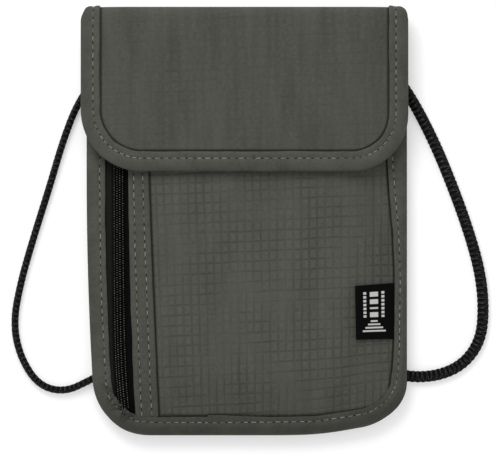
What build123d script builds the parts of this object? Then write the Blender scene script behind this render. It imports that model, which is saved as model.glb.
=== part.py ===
from build123d import *

import os
from math import atan2, cos, degrees, pi, radians, sin, tan

# Neck pouch wallet, lying on its back: +Z points out of the front, +Y towards the
# top fold, +X to the right of someone facing the front. The origin is the middle of
# the pouch's own box, without its cord. All sizes are millimetres.

# ---------------------------------------------------------------- outline
pouch_height = 186.0
body_left = -68.7
body_right = 70.7
body_corner = 20.0
flap_width = 142.6
flap_drop = 71.5
flap_corner = 24.0
mouth_drop = 13.0
binding_width = 7.6
flap_binding_width = 8.7

# ---------------------------------------------------------------- plies, by thickness
fabric = 0.6
lining = 0.4
shield = 0.2
tape = 0.5
binding = 0.7
hem = 0.5
facing = 0.8
hook_pile = 1.0
ply_gap = 0.1
passport_room = 5.1
zip_pocket_room = 1.0
closure_gap = 0.1

# ---------------------------------------------------------------- pillow shape
slope_run = 16.6
divider_step = 5.1
plateau_corner = 2.0
drape_half = 54.0
drape_fall = 5.5
seam_inset = binding + ply_gap

# ---------------------------------------------------------------- shielding sheets
shield_back_inset = 2.0
shield_front_inset = 1.0
shield_front_drop = 2.0

# ---------------------------------------------------------------- zip
zip_offset = 14.0
zip_gap = 0.8
coil_width = 4.5
coil_height = 1.6
coil_foot = 3.6
tape_cover = 8.0
facing_left = 4.3
facing_width = 8.9
facing_drop = 1.0
front_start = 12.7
slider_length = 10.0
slider_width = 7.8
slider_tail_width = 6.2
slider_plate = 0.7
slider_corner = 1.2
slider_wall_inset = 1.2
slider_wall_flare = 0.3
slider_base = 0.55
slider_base_width = 6.2
slider_clear = 0.25
slider_web = 0.4
slider_web_length = 3.0
slider_below_stop = 0.5
stop_length = 2.4
stop_height = 1.8
stop_below_mouth = 4.0
lug_width = 2.0
lug_length = 4.4
lug_post = 0.8
lug_room = 1.0
lug_bar = 0.55
puller_length = 19.0
puller_width = 5.0
puller_thickness = 0.6
puller_window = 2.7
puller_window_length = 3.4
puller_corner = 0.9
puller_hole = 2.2
puller_hole_inset = 3.0

# ---------------------------------------------------------------- closure and label
closure_width = 70.0
closure_height = 20.0
closure_drop = 52.0
closure_corner = 2.0
hem_height = 7.0
label_width = 15.2
label_height = 25.6
label_thickness = 0.8
label_drop = 132.2
label_clear = 0.3
label_turn_inset = 1.2
label_start = 0.3
label_corner = 0.4

# ---------------------------------------------------------------- fold
fold_reach = 2.0
fold_slack = 1.0

# ---------------------------------------------------------------- cord
cord_diameter = 4.0
cord_clear = 1.2
bend_share = 0.45
anchor_x = 52.0
anchor_drop = 14.0
anchor_angle = 38.0
anchor_length = 12.0
anchor_width = 12.0
anchor_web = 1.0
anchor_fit = 0.3
anchor_trim = 10.0
coil_inner = 18.0
coil_step = 4.7
coil_left_turn = 515.0
coil_right_turn = 625.0

# ---------------------------------------------------------------- levels above the back
level_shield = fabric + ply_gap
level_lining = level_shield + shield + ply_gap
level_pocket = level_lining + lining
rim_divider = level_pocket + ply_gap
rim_front = rim_divider + lining + ply_gap
rim_top = rim_front + fabric
level_divider = level_pocket + passport_room
level_front_shield = level_divider + lining + ply_gap
level_front = level_front_shield + shield + zip_pocket_room
level_facing = level_front + fabric + ply_gap
level_hook = level_facing + hook_pile + closure_gap
level_flap_lining = level_hook + hook_pile + ply_gap
level_flap = level_flap_lining + lining + ply_gap
level_top = level_flap + fabric + seam_inset
anchor_depth = ply_gap + cord_diameter + anchor_fit + anchor_web

# ---------------------------------------------------------------- frame
back = -(level_top - anchor_depth) / 2
top_y = pouch_height / 2
bottom_y = -pouch_height / 2
mouth_y = top_y - mouth_drop
fold_y = top_y - fold_reach
far_y = top_y + 40.0
open_y = far_y + 30.0
floor_z = back - seam_inset - cord_clear - cord_diameter
rise = level_front - rim_front
slope = degrees(atan2(rise, slope_run))
zip_x = body_left + zip_offset
inner_left = body_left + binding_width
inner_right = body_right - binding_width
inner_bottom = bottom_y + binding_width
plateau_left = inner_left + slope_run
plateau_right = inner_right - slope_run
plateau_bottom = inner_bottom + slope_run

os.makedirs("parts", exist_ok=True)


def finish(piece, name):
    """Label a finished piece and write its file."""
    piece.part.label = name
    export_step(piece.part, f"parts/{name}.step")


def span(left, right, bottom, top, corner=0.0, mode=Mode.ADD):
    """A rectangle between four edges, with rounded corners if asked."""
    with Locations(((left + right) / 2, (bottom + top) / 2)):
        if corner:
            RectangleRounded(right - left, top - bottom, corner, mode=mode)
        else:
            Rectangle(right - left, top - bottom, mode=mode)


def body_outline(inset, top=far_y, mode=Mode.ADD):
    """The body's outline, set in from its edge and square at the top."""
    span(body_left + inset, body_right - inset, bottom_y + inset, open_y,
         body_corner - inset, mode)
    span(body_left, body_right, top, open_y, mode=Mode.SUBTRACT)


def plateau_outline():
    """The raised middle of the pillow."""
    span(plateau_left, plateau_right, plateau_bottom, open_y, plateau_corner)


def tray(rim, crown, thickness, start, left, right, bottom, top):
    """A ply that is flat at its rim and raised over the pocket, cut to a window."""
    with BuildPart() as ply:
        with BuildSketch(Plane.XY.offset(back + rim)):
            body_outline(seam_inset + ply_gap)
        extrude(amount=thickness)
        with BuildSketch(Plane.XY.offset(back + rim + thickness)):
            span(body_left + start, body_right - start, bottom_y + start, open_y,
                 body_corner - start)
        with BuildSketch(Plane.XY.offset(back + crown + thickness)):
            plateau_outline()
        loft(ruled=True)
        with BuildSketch(Plane.XY.offset(back + rim)):
            span(body_left + start, body_right - start, bottom_y + start, open_y,
                 body_corner - start)
        with BuildSketch(Plane.XY.offset(back + crown)):
            plateau_outline()
        loft(ruled=True, mode=Mode.SUBTRACT)
        with BuildSketch(Plane.XY.offset(back + rim)):
            span(left, right, bottom, top)
        extrude(amount=crown - rim + thickness, mode=Mode.INTERSECT)
    return ply.part


def front_ply(lift, thickness, left, right, bottom=bottom_y, top=mouth_y):
    """A ply on the front's surface, lifted off it by some plies below."""
    return tray(rim_front + lift, level_front + lift, thickness, binding_width,
                left, right, bottom, top)


def drape(low, high):
    """The flap's cross-section between two levels, flat with its sides let down."""
    half = flap_width / 2
    Polygon(
        (-half, back + low - drape_fall), (-drape_half, back + low),
        (drape_half, back + low), (half, back + low - drape_fall),
        (half, back + high - drape_fall), (drape_half, back + high),
        (-drape_half, back + high), (-half, back + high - drape_fall),
        align=None,
    )


def flap_outline(inset, mode=Mode.ADD):
    """The flap's outline, set in from its edge and open towards the fold."""
    half = flap_width / 2 - inset
    span(-half, half, top_y - flap_drop + inset, far_y, flap_corner - inset, mode)


def flap_ply(low, high, inset):
    """A ply of the flap between two levels."""
    with BuildPart() as ply:
        with BuildSketch(Plane.XZ.offset(-fold_y)):
            drape(low, high)
        extrude(amount=flap_drop)
        with BuildSketch(Plane.XY.offset(back)):
            flap_outline(inset)
        extrude(amount=level_top, mode=Mode.INTERSECT)
    return ply.part


# ================================================================ the pouch's back
with BuildPart() as back_panel:
    with BuildSketch(Plane.XY.offset(back)):
        body_outline(seam_inset + ply_gap, fold_y)
    extrude(amount=fabric)
finish(back_panel, "back_panel")

with BuildPart() as rfid_shield_back:
    with BuildSketch(Plane.XY.offset(back + level_shield)):
        span(inner_left + shield_back_inset, inner_right - shield_back_inset,
             inner_bottom + shield_back_inset, mouth_y, body_corner - binding_width)
    extrude(amount=shield)
finish(rfid_shield_back, "rfid_shield_back")

with BuildPart() as back_lining:
    with BuildSketch(Plane.XY.offset(back + level_lining)):
        body_outline(seam_inset + ply_gap, fold_y)
    extrude(amount=lining)
finish(back_lining, "back_lining")

# ================================================================ between the pockets
with BuildPart() as pocket_divider:
    add(tray(rim_divider, level_divider, lining, binding_width + divider_step,
             body_left, body_right, bottom_y, mouth_y))
finish(pocket_divider, "pocket_divider")

with BuildPart() as rfid_shield_front:
    with BuildSketch(Plane.XY.offset(back + level_front_shield)):
        span(plateau_left + shield_front_inset, plateau_right - shield_front_inset,
             plateau_bottom + shield_front_inset, mouth_y - shield_front_drop, plateau_corner)
    extrude(amount=shield)
finish(rfid_shield_front, "rfid_shield_front")

# ================================================================ the front
with BuildPart() as front_panel:
    add(front_ply(0, fabric, zip_x + front_start, body_right))
finish(front_panel, "front_panel")

with BuildPart() as zip_facing:
    facing_x = zip_x + facing_left
    add(front_ply(fabric + ply_gap, facing, facing_x, facing_x + facing_width,
                  inner_bottom + ply_gap, mouth_y - facing_drop))
finish(zip_facing, "zip_facing")

with BuildPart() as mouth_hem:
    add(front_ply(fabric + ply_gap, hem, facing_x + facing_width + ply_gap,
                  inner_right - ply_gap, mouth_y - hem_height, mouth_y))
finish(mouth_hem, "mouth_hem")

with BuildPart() as loop_strip:
    with BuildSketch(Plane.XY.offset(back + level_facing)):
        span(-closure_width / 2, closure_width / 2, top_y - closure_drop - closure_height / 2,
             top_y - closure_drop + closure_height / 2, closure_corner)
    extrude(amount=hook_pile)
finish(loop_strip, "loop_strip")

with BuildPart() as body_binding:
    with BuildSketch(Plane.XY.offset(back - seam_inset)):
        body_outline(0, fold_y)
        body_outline(binding_width, far_y, mode=Mode.SUBTRACT)
    extrude(amount=rim_top + 2 * seam_inset)
    with BuildSketch(Plane.XY.offset(back - ply_gap)):
        body_outline(seam_inset, far_y)
    extrude(amount=rim_top + 2 * ply_gap, mode=Mode.SUBTRACT)
finish(body_binding, "body_binding")

# ================================================================ the zip
stop_y = mouth_y - stop_below_mouth
coil_top = stop_y - stop_length
slider_y = coil_top - slider_below_stop - slider_length / 2
tape_rise = (zip_x - inner_left) * rise / slope_run
zip_plane = Plane(
    origin=(zip_x, slider_y, back + rim_front + tape + tape_rise),
    x_dir=(cos(radians(slope)), 0, sin(radians(slope))),
    z_dir=(-sin(radians(slope)), 0, cos(radians(slope))),
)
coil_level = coil_height * cos(radians(slope))
coil_half = coil_width / 2 / cos(radians(slope))
coil_lean = coil_height * sin(radians(slope))

for side, name in ((-1, "left"), (1, "right")):
    inner_edge = zip_x + side * zip_gap / 2
    outer_edge = body_left if side < 0 else zip_x + tape_cover
    coil_edge = zip_x + side * coil_width / 2
    with BuildPart() as zip_tape:
        add(front_ply(0, tape, min(inner_edge, outer_edge), max(inner_edge, outer_edge)))
    finish(zip_tape, f"zip_tape_{name}")
    with BuildPart() as zip_coil:
        add(front_ply(tape, coil_height, min(inner_edge, coil_edge), max(inner_edge, coil_edge),
                      inner_bottom + coil_foot, coil_top))
    finish(zip_coil, f"zip_coil_{name}")

with BuildPart() as zip_stops:
    for side in (-1, 1):
        edges = sorted((zip_x + side * zip_gap / 2, zip_x + side * coil_width / 2))
        add(front_ply(tape, stop_height, edges[0], edges[1], coil_top, stop_y))
finish(zip_stops, "zip_stops")

with BuildPart() as slider_body:
    plate_low = coil_level + slider_clear
    plate_high = plate_low + slider_plate
    base_high = -tape * cos(radians(slope)) - slider_clear
    base_low = base_high - slider_base
    with BuildSketch(zip_plane.offset(plate_low)) as slider_top:
        Polygon(
            (-slider_width / 2, slider_length / 2), (slider_width / 2, slider_length / 2),
            (slider_width / 2, 0), (slider_tail_width / 2, -slider_length / 2),
            (-slider_tail_width / 2, -slider_length / 2), (-slider_width / 2, 0),
            align=None,
        )
        fillet(slider_top.vertices(), slider_corner)
    extrude(amount=slider_plate)
    with BuildSketch(zip_plane.offset(slider_clear)):
        for side in (-1, 1):
            wall = side * (coil_half + coil_lean + slider_clear)
            end = slider_length / 2 - slider_wall_inset
            Polygon(
                (wall, end), (side * slider_width / 2, end), (side * slider_width / 2, 0),
                (wall + side * slider_wall_flare, -end), (wall, -end),
                align=None,
            )
    extrude(amount=plate_low - slider_clear)
    with BuildSketch(zip_plane.offset(base_low)):
        Rectangle(slider_base_width, slider_length)
    extrude(amount=slider_base)
    web_low = zip_plane.origin.Z + base_high / cos(radians(slope)) - slider_base / 2
    web_high = zip_plane.origin.Z + plate_low / cos(radians(slope)) + slider_plate / 2
    with BuildSketch(Plane.XY.offset(web_low)):
        span(zip_x - slider_web / 2, zip_x + slider_web / 2, slider_y, slider_y + slider_web_length)
    extrude(amount=web_high - web_low)
    with BuildSketch(zip_plane.offset(plate_high)):
        Rectangle(lug_width, lug_length)
    extrude(amount=lug_room + lug_bar)
    with BuildSketch(zip_plane.offset(plate_high)):
        Rectangle(lug_width, lug_length - 2 * lug_post)
    extrude(amount=lug_room, mode=Mode.SUBTRACT)
finish(slider_body, "slider_body")

puller_level = plate_high + (lug_room - puller_thickness) / 2
puller_pin_y = -(lug_length / 2 - lug_post - puller_thickness)
with BuildPart() as puller:
    with BuildSketch(zip_plane.offset(puller_level)):
        pin_top = puller_pin_y + puller_thickness / 2
        span(-puller_width / 2, puller_width / 2, puller_pin_y - puller_length, pin_top,
             puller_corner)
        span(-puller_window / 2, puller_window / 2, puller_pin_y - puller_window_length,
             pin_top - puller_thickness, mode=Mode.SUBTRACT)
        with Locations((0, puller_pin_y - puller_length + puller_hole_inset)):
            Circle(puller_hole / 2, mode=Mode.SUBTRACT)
    extrude(amount=puller_thickness)
finish(puller, "puller")

# ================================================================ the label
label_level = fabric + label_clear + ply_gap + label_turn_inset * rise / slope_run
label_plane = Plane(
    origin=(inner_right - label_turn_inset, top_y - label_drop, back + rim_front + label_level),
    x_dir=(-cos(radians(slope)), 0, sin(radians(slope))),
    z_dir=(sin(radians(slope)), 0, cos(radians(slope))),
)
with BuildPart() as woven_label:
    with BuildSketch(label_plane):
        span(label_start, label_width / cos(radians(slope)), -label_height / 2, label_height / 2,
             label_corner)
    extrude(amount=label_thickness)
finish(woven_label, "woven_label")

# ================================================================ the top fold
fold_low = fabric + 3 * ply_gap
fold_high = level_flap_lining - 4 * ply_gap
fold_half = body_right - ply_gap
for name, face_y, thickness in (("fold_face", top_y, fabric),
                                ("fold_lining", top_y - fabric - ply_gap, lining)):
    with BuildPart() as fold:
        with BuildSketch(Plane.XZ.offset(-face_y)):
            fold_fall = drape_fall * (fold_half - drape_half) / (flap_width / 2 - drape_half)
            Polygon(
                (-fold_half, back + fold_low), (fold_half, back + fold_low),
                (fold_half, back + fold_high - fold_fall), (drape_half, back + fold_high),
                (-drape_half, back + fold_high), (-fold_half, back + fold_high - fold_fall),
                align=None,
            )
        extrude(amount=thickness)
    finish(fold, name)

# ================================================================ the flap
with BuildPart() as flap_face:
    add(flap_ply(level_flap, level_flap + fabric, seam_inset + ply_gap))
finish(flap_face, "flap_face")

with BuildPart() as flap_lining:
    add(flap_ply(level_flap_lining, level_flap_lining + lining, seam_inset + ply_gap))
finish(flap_lining, "flap_lining")

with BuildPart() as flap_binding:
    add(flap_ply(level_flap_lining - seam_inset, level_top, 0))
    with BuildSketch(Plane.XY.offset(back)):
        flap_outline(flap_binding_width)
    extrude(amount=level_top + 1, mode=Mode.SUBTRACT)
    add(flap_ply(level_flap_lining - ply_gap, level_flap + fabric + ply_gap, seam_inset),
        mode=Mode.SUBTRACT)
finish(flap_binding, "flap_binding")

with BuildPart() as hook_strip:
    with BuildSketch(Plane.XY.offset(back + level_hook)):
        span(-closure_width / 2, closure_width / 2, top_y - closure_drop - closure_height / 2,
             top_y - closure_drop + closure_height / 2, closure_corner)
    extrude(amount=hook_pile)
finish(hook_strip, "hook_strip")

# ================================================================ the neck cord
cord_radius = cord_diameter / 2
cord_level = floor_z + cord_radius
end_level = back - ply_gap - cord_radius
anchor_y = top_y - anchor_drop

for side, name in ((-1, "left"), (1, "right")):
    leave = Vector(side * sin(radians(anchor_angle)), -cos(radians(anchor_angle)), 0)
    middle = Vector(side * anchor_x, anchor_y, end_level)
    anchor_plane = Plane(origin=middle, x_dir=(0, 0, 1), z_dir=leave)
    with BuildPart() as cord_anchor:
        with BuildSketch(anchor_plane.offset(-anchor_length / 2)):
            Circle(cord_radius + anchor_fit + anchor_web)
            with Locations((cord_radius - anchor_web / 2, 0)):
                Rectangle(anchor_web, anchor_width)
            with Locations((cord_radius + anchor_trim / 2, 0)):
                Rectangle(anchor_trim, anchor_width, mode=Mode.SUBTRACT)
            Circle(cord_radius + anchor_fit, mode=Mode.SUBTRACT)
        extrude(amount=anchor_length)
        with BuildSketch(anchor_plane.offset(-anchor_length / 2)):
            Circle(cord_radius + anchor_fit)
            with Locations((cord_radius + anchor_trim / 2, 0)):
                Rectangle(anchor_trim, anchor_width, mode=Mode.SUBTRACT)
        extrude(amount=anchor_web)
    finish(cord_anchor, f"cord_anchor_{name}")

with BuildPart() as neck_cord_coil:
    coil_reach = coil_inner + 2 * coil_step * coil_right_turn / 360 + cord_radius
    with BuildSketch(Plane.XY.offset(floor_z)):
        Circle(coil_reach)
    extrude(amount=cord_diameter)
finish(neck_cord_coil, "neck_cord_coil")

left_route = [
    (-48.9, 83.0, end_level), (-55.9, 74.0, end_level), (-63.0, 65.0, cord_level),
    (-72.6, 52.5, cord_level), (-79.2, 35.5, cord_level), (-85.0, 15.5, cord_level),
    (-91.5, -5.0, cord_level),
    (-97.5, -25.5, cord_level), (-101.0, -44.0, cord_level), (-98.0, -59.0, cord_level),
    (-90.0, -71.5, cord_level), (-78.5, -74.5, cord_level), (-67.0, -69.0, cord_level),
    (-52.5, -61.5, cord_level), (-33.0, -52.0, cord_level), (-13.0, -42.5, cord_level),
    (4.0, -34.0, cord_level),
]
right_route = [
    (48.9, 83.0, end_level), (55.9, 74.0, end_level), (63.0, 65.4, cord_level),
    (72.0, 53.0, cord_level), (81.8, 35.0, cord_level), (90.8, 15.5, cord_level),
    (98.0, -4.5, cord_level),
    (103.0, -22.5, cord_level), (104.5, -38.5, cord_level), (103.0, -52.0, cord_level),
    (96.0, -62.0, cord_level), (85.0, -67.3, cord_level), (71.5, -68.0, cord_level),
    (57.5, -64.0, cord_level), (47.5, -53.5, cord_level), (41.5, -38.5, cord_level),
    (38.0, -21.0, cord_level), (36.0, -4.0, cord_level),
]


def bend_radii(route):
    """The largest even arcs that the route's runs leave room for."""
    points = [Vector(*point) for point in route]
    radii = []
    for before, here, after in zip(points, points[1:], points[2:]):
        turn = (here - before).get_angle(after - here)
        run = min((here - before).length, (after - here).length)
        radii.append(bend_share * run / tan(radians(turn) / 2))
    return radii


cord_length = 2 * pi * coil_inner / 2
for turn in (coil_left_turn, coil_right_turn):
    cord_length += radians(turn) * (coil_inner + coil_step * turn / 360)

for name, route in (("left", left_route), ("right", right_route)):
    radii = bend_radii(route)
    with BuildPart() as neck_cord:
        with BuildLine() as cord_path:
            FilletPolyline(*route, radius=radii)
        first_run = Vector(*route[1]) - Vector(*route[0])
        with BuildSketch(Plane(origin=route[0], z_dir=first_run)):
            Circle(cord_radius)
        sweep(path=cord_path.wire())
        swept = neck_cord.part.volume
        with BuildSketch(Plane.XY.offset(floor_z)):
            Circle(coil_reach)
        extrude(amount=cord_diameter, mode=Mode.SUBTRACT)
    run_length = cord_path.wire().length
    cord_length += run_length
    print(f"cord {name}: {run_length:.1f} mm, radii", [round(r, 1) for r in radii])
    print(f"  volume {swept:.1f}, section times length {pi * cord_radius ** 2 * run_length:.1f}")
    finish(neck_cord, f"neck_cord_{name}")

print(f"cord in all {cord_length:.0f} mm, coil {2 * coil_reach:.1f} mm across")
print(f"back {back:.3f}, floor {floor_z:.3f}, cord level {cord_level:.3f}, ends {end_level:.3f}")
print(f"slope {slope:.2f} degrees, zip x {zip_x:.2f}, slider y {slider_y:.2f}")
print("puller pin", zip_plane.from_local_coords(
    Vector(0, puller_pin_y, puller_level + puller_thickness / 2)))
print("fold hinges at y", fold_y + fold_slack, "z", back + fabric / 2,
      "and", back + (level_flap_lining + level_flap + fabric) / 2)
print("label hinge", label_plane.origin, "mouth", mouth_y, "pocket from", plateau_left,
      "to", plateau_right, "level", back + level_pocket, back + level_divider)
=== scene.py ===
"""Neck pouch wallet: the looks, built on the packed CAD frame.

Shapes are worked out in millimetres and turned to metres as each mesh is finished.
X runs to the right, Y towards the top fold and Z out of the front.
"""
from bisect import bisect
from math import ceil, copysign, cos, exp, hypot, pi, radians, sin, sqrt

import bmesh
import bpy
from mathutils import Matrix, Vector, noise


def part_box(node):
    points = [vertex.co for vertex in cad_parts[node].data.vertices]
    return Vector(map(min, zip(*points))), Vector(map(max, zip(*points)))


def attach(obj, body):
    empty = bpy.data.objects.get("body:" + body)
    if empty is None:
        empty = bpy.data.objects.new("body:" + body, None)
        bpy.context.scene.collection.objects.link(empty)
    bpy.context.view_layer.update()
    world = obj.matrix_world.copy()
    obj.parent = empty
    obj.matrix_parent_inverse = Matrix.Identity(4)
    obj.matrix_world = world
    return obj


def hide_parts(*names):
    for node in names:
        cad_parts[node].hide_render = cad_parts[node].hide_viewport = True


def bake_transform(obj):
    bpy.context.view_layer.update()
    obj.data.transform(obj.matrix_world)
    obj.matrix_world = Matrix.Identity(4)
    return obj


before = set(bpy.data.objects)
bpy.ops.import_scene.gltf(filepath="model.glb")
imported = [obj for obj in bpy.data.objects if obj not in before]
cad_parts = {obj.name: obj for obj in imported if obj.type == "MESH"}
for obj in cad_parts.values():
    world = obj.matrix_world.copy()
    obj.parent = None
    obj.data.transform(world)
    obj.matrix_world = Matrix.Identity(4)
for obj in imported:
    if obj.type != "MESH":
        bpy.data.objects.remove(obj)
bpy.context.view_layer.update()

bl_info = {
    "name": "Neck Pouch Wallet",
    "version": (1, 0, 0),
    "blender": (4, 5, 0),
    "location": "View3D > Sidebar > Neck Pouch",
    "description": "Builds a zipped neck pouch with a flap, a woven label and a braided cord",
    "category": "Add Mesh",
}

MM = 0.001
UP = Vector((0, 0, 1))


def box_mm(node):
    """A CAD node's lowest and highest corners, in millimetres."""
    low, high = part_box(node)
    return low / MM, high / MM


# ------------------------------------------------------------------ places from the CAD
RIM_LOW, RIM_HIGH = box_mm("body_binding")
BACK_LOW, BACK_HIGH = box_mm("back_panel")
LINING_HIGH = box_mm("back_lining")[1]
DIVIDER_LOW, DIVIDER_HIGH = box_mm("pocket_divider")
SHIELD_BACK = box_mm("rfid_shield_back")
SHIELD_FRONT = box_mm("rfid_shield_front")
FRONT_LOW, FRONT_HIGH = box_mm("front_panel")
HEM_LOW, HEM_HIGH = box_mm("mouth_hem")
BAND_LOW, BAND_HIGH = box_mm("zip_facing")
TAPE_LEFT = box_mm("zip_tape_left")
TAPE_RIGHT = box_mm("zip_tape_right")
COIL_LEFT = box_mm("zip_coil_left")
FLAP_HIGH = box_mm("flap_face")[1]
EDGE_LOW, EDGE_HIGH = box_mm("flap_binding")
HOOK_LOW, HOOK_HIGH = box_mm("hook_strip")
LOOP_LOW, LOOP_HIGH = box_mm("loop_strip")
FOLD_HIGH = box_mm("fold_face")[1]
CORD_LOW = box_mm("neck_cord_coil")[0]

LEFT, RIGHT, BOTTOM = RIM_LOW.x, RIM_HIGH.x, RIM_LOW.y
SEAM_WIDTH = 7.6
SEAM_LEFT, SEAM_RIGHT, SEAM_BOTTOM = LEFT + SEAM_WIDTH, RIGHT - SEAM_WIDTH, BOTTOM + SEAM_WIDTH
ZIP_X = (TAPE_LEFT[1].x + TAPE_RIGHT[0].x) / 2
CLOTH_WALL = 0.6
LINING_WALL = 0.4
TAPE_WALL = 0.5
RIM_TOP = FRONT_LOW.z + CLOTH_WALL
FRONT_RISE = FRONT_HIGH.z - RIM_TOP
SLOPE_RUN = 16.6
FLAP_TOP = FLAP_HIGH.z
BACK_Z = BACK_LOW.z
FOLD_Y = FOLD_HIGH.y
CORD_DIAMETER = 4.0
CORD_LEVEL = CORD_LOW.z + CORD_DIAMETER / 2
PLY_GAP = 0.1
CORD_END = BACK_Z - PLY_GAP - CORD_DIAMETER / 2


def dye(red, green, blue):
    """A cloth or thread colour, from its screen values out of 255 to linear light."""
    return tuple((c / 255 / 12.92 if c < 11 else ((c / 255 + 0.055) / 1.055) ** 2.4)
                 for c in (red, green, blue))


def size_of(label, what, default):
    """A length setting, in metres."""
    return bpy.props.FloatProperty(
        name=label, description=what, default=default, unit="LENGTH", subtype="DISTANCE")


class PouchSizes(bpy.types.PropertyGroup):
    """Sizes that a maker of the pouch would choose."""
    binding_width: size_of("Binding width", "Width of the tape that binds the body's edge", 0.0081)
    flap_binding_width: size_of(
        "Flap binding width", "Width of the tape that binds the flap's edge", 0.0087)
    stitch_pitch: size_of("Stitch pitch", "Distance from one stitch to the next", 0.0036)
    stitch_length: size_of("Stitch length", "Thread showing in one stitch", 0.0024)
    thread: size_of("Thread", "Thickness of the sewing thread", 0.0004)
    tooth_pitch: size_of("Tooth pitch", "Distance from one zip tooth to the next", 0.00104)
    grid_across: size_of("Grid across", "Spacing of the ripstop's upright threads", 0.0035)
    grid_along: size_of("Grid along", "Spacing of the ripstop's level threads", 0.0044)
    flap_wrinkle: size_of("Flap wrinkles", "Depth of the soft upright wrinkles in the flap", 0.0006)
    front_wrinkle: size_of("Front wrinkles", "Depth of the puckers in the front", 0.0002)


def colour_of(label, what, default):
    """A colour setting."""
    return bpy.props.FloatVectorProperty(
        name=label, description=what, default=default, subtype="COLOR", size=3, min=0, max=1)


class PouchColours(bpy.types.PropertyGroup):
    """Colours of the pouch's cloths, threads and fittings."""
    cloth: colour_of("Cloth", "Ripstop of the front, flap and back", dye(72, 73, 67))
    binding: colour_of("Binding", "Tape that binds the edges", dye(69, 70, 64))
    lining: colour_of("Lining", "Lining of the pockets and flap", dye(92, 93, 88))
    thread: colour_of("Thread", "Sewing thread", dye(128, 129, 121))
    tape: colour_of("Zip tape", "Woven tape of the zip", dye(25, 25, 23))
    tooth: colour_of("Zip teeth", "Nylon coil of the zip", dye(5, 5, 5))
    enamel: colour_of("Enamel", "Coating of the slider and puller", dye(22, 22, 22))
    cord: colour_of("Cord", "Braided neck cord", dye(9, 9, 10))
    label: colour_of("Label", "Ground of the woven label", dye(3, 3, 3))
    mark: colour_of("Mark", "Pattern woven into the label", dye(205, 206, 202))
    foil: colour_of("Foil", "Shielding sheets inside the pockets", dye(170, 172, 172))
    pile: colour_of("Pile", "Hook and loop strips", dye(26, 26, 25))


# ------------------------------------------------------------------ small maths
def clamp(value, low=0.0, high=1.0):
    """Keep a value between two limits."""
    return max(low, min(high, value))


def ease(share):
    """A smooth start and stop between 0 and 1."""
    share = clamp(share)
    return share * share * (3 - 2 * share)


def between(knots, place):
    """A value read off a line through (place, value) knots."""
    if place <= knots[0][0]:
        return knots[0][1]
    for (a, low), (b, high) in zip(knots, knots[1:]):
        if place <= b:
            return low + (high - low) * (place - a) / (b - a)
    return knots[-1][1]


def smooth_min(a, b, reach):
    """The smaller of two numbers, rounded off where they're alike."""
    near = max(reach - abs(a - b), 0.0) / reach
    return min(a, b) - near * near * reach / 4


def ripple(x, y, seed=0.0):
    """Soft unevenness from -1 to 1, the same every time."""
    return noise.noise(Vector((x, y, seed)))


# ------------------------------------------------------------------ the pouch's lie
CORNER_LEFT, CORNER_RIGHT = 24.0, 20.0
DRIFT_START, DRIFT_RUN = 20.0, 105.0
BAND_INNER, BAND_OUTER = ZIP_X + 4.3, ZIP_X + 13.2
LIFT_MOST, LIFT_REACH, LIFT_SHARPNESS = 4.9, 66.0, 5.4
LIFT_TOP, LIFT_RUN = -40.0, 50.0
CORNER_BLEND, CROWN_BLEND = 14.5, 0.4


def lean(x, y):
    """How far the left side has drifted inwards towards the foot of the pouch."""
    t = clamp((DRIFT_START - y) / DRIFT_RUN)
    knots = ((LEFT, 3.6 * t ** 2), (ZIP_X, 2.8 * t ** 6), (BAND_INNER, 3.0 * t ** 1.6),
             (BAND_OUTER, 4.2 * t ** 1.1), (0.0, 1.4 * t), (50.0, 0.0))
    return between(knots, x)


def lift(x, y):
    """How far the bottom edge has crept up towards the right corner."""
    across = sin(pi / 2 * clamp(x / LIFT_REACH)) ** LIFT_SHARPNESS
    return LIFT_MOST * across * clamp((LIFT_TOP - y) / LIFT_RUN)


def lie(x, y, z):
    """A point of the pouch where the real one lies."""
    return Vector((x + lean(x, y), y + lift(x, y), z))


def span_at(y, inset):
    """The body's left and right limits at a height up the pouch."""
    limits = []
    for edge, corner, way in ((LEFT, CORNER_LEFT, 1), (RIGHT, CORNER_RIGHT, -1)):
        below = max(BOTTOM + corner - y, 0.0)
        reach = sqrt(max((corner - inset) ** 2 - below ** 2, 0.0))
        limits.append(edge + way * (corner - reach))
    return limits


def inward(x, y):
    """How far a point is inside the body's seam."""
    return smooth_min(min(x - SEAM_LEFT, SEAM_RIGHT - x), y - SEAM_BOTTOM, CORNER_BLEND)


def swell(x, y, start=0.0, run=SLOPE_RUN):
    """The pillow's height at a point, from 0 at the seam to 1 on top."""
    return smooth_min(max((inward(x, y) - start) / run, 0.0), 1.0, CROWN_BLEND)


def front_top(x, y):
    """The level of the front cloth's outer face."""
    return RIM_TOP + FRONT_RISE * swell(x, y)


BEND_TOP, BEND_FOOT = 4.4, 4.3
BEND_START = FOLD_Y - BEND_TOP
WALL_START = BEND_START + BEND_TOP * pi / 2
WALL_END = WALL_START + (FLAP_TOP - BEND_TOP) - (BACK_Z + BEND_FOOT)
SKIN_END = WALL_END + BEND_FOOT * pi / 2


def skin(q):
    """The outer skin's line: up the flap, over the top fold and onto the back."""
    if q <= BEND_START:
        return q, FLAP_TOP
    if q <= WALL_START:
        a = (q - BEND_START) / BEND_TOP
        return BEND_START + BEND_TOP * sin(a), FLAP_TOP - BEND_TOP * (1 - cos(a))
    if q <= WALL_END:
        return FOLD_Y, FLAP_TOP - BEND_TOP - (q - WALL_START)
    a = min((q - WALL_END) / BEND_FOOT, pi / 2)
    beyond = max(q - SKIN_END, 0.0)
    return FOLD_Y - BEND_FOOT * (1 - cos(a)) - beyond, BACK_Z + BEND_FOOT * (1 - sin(a))


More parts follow.
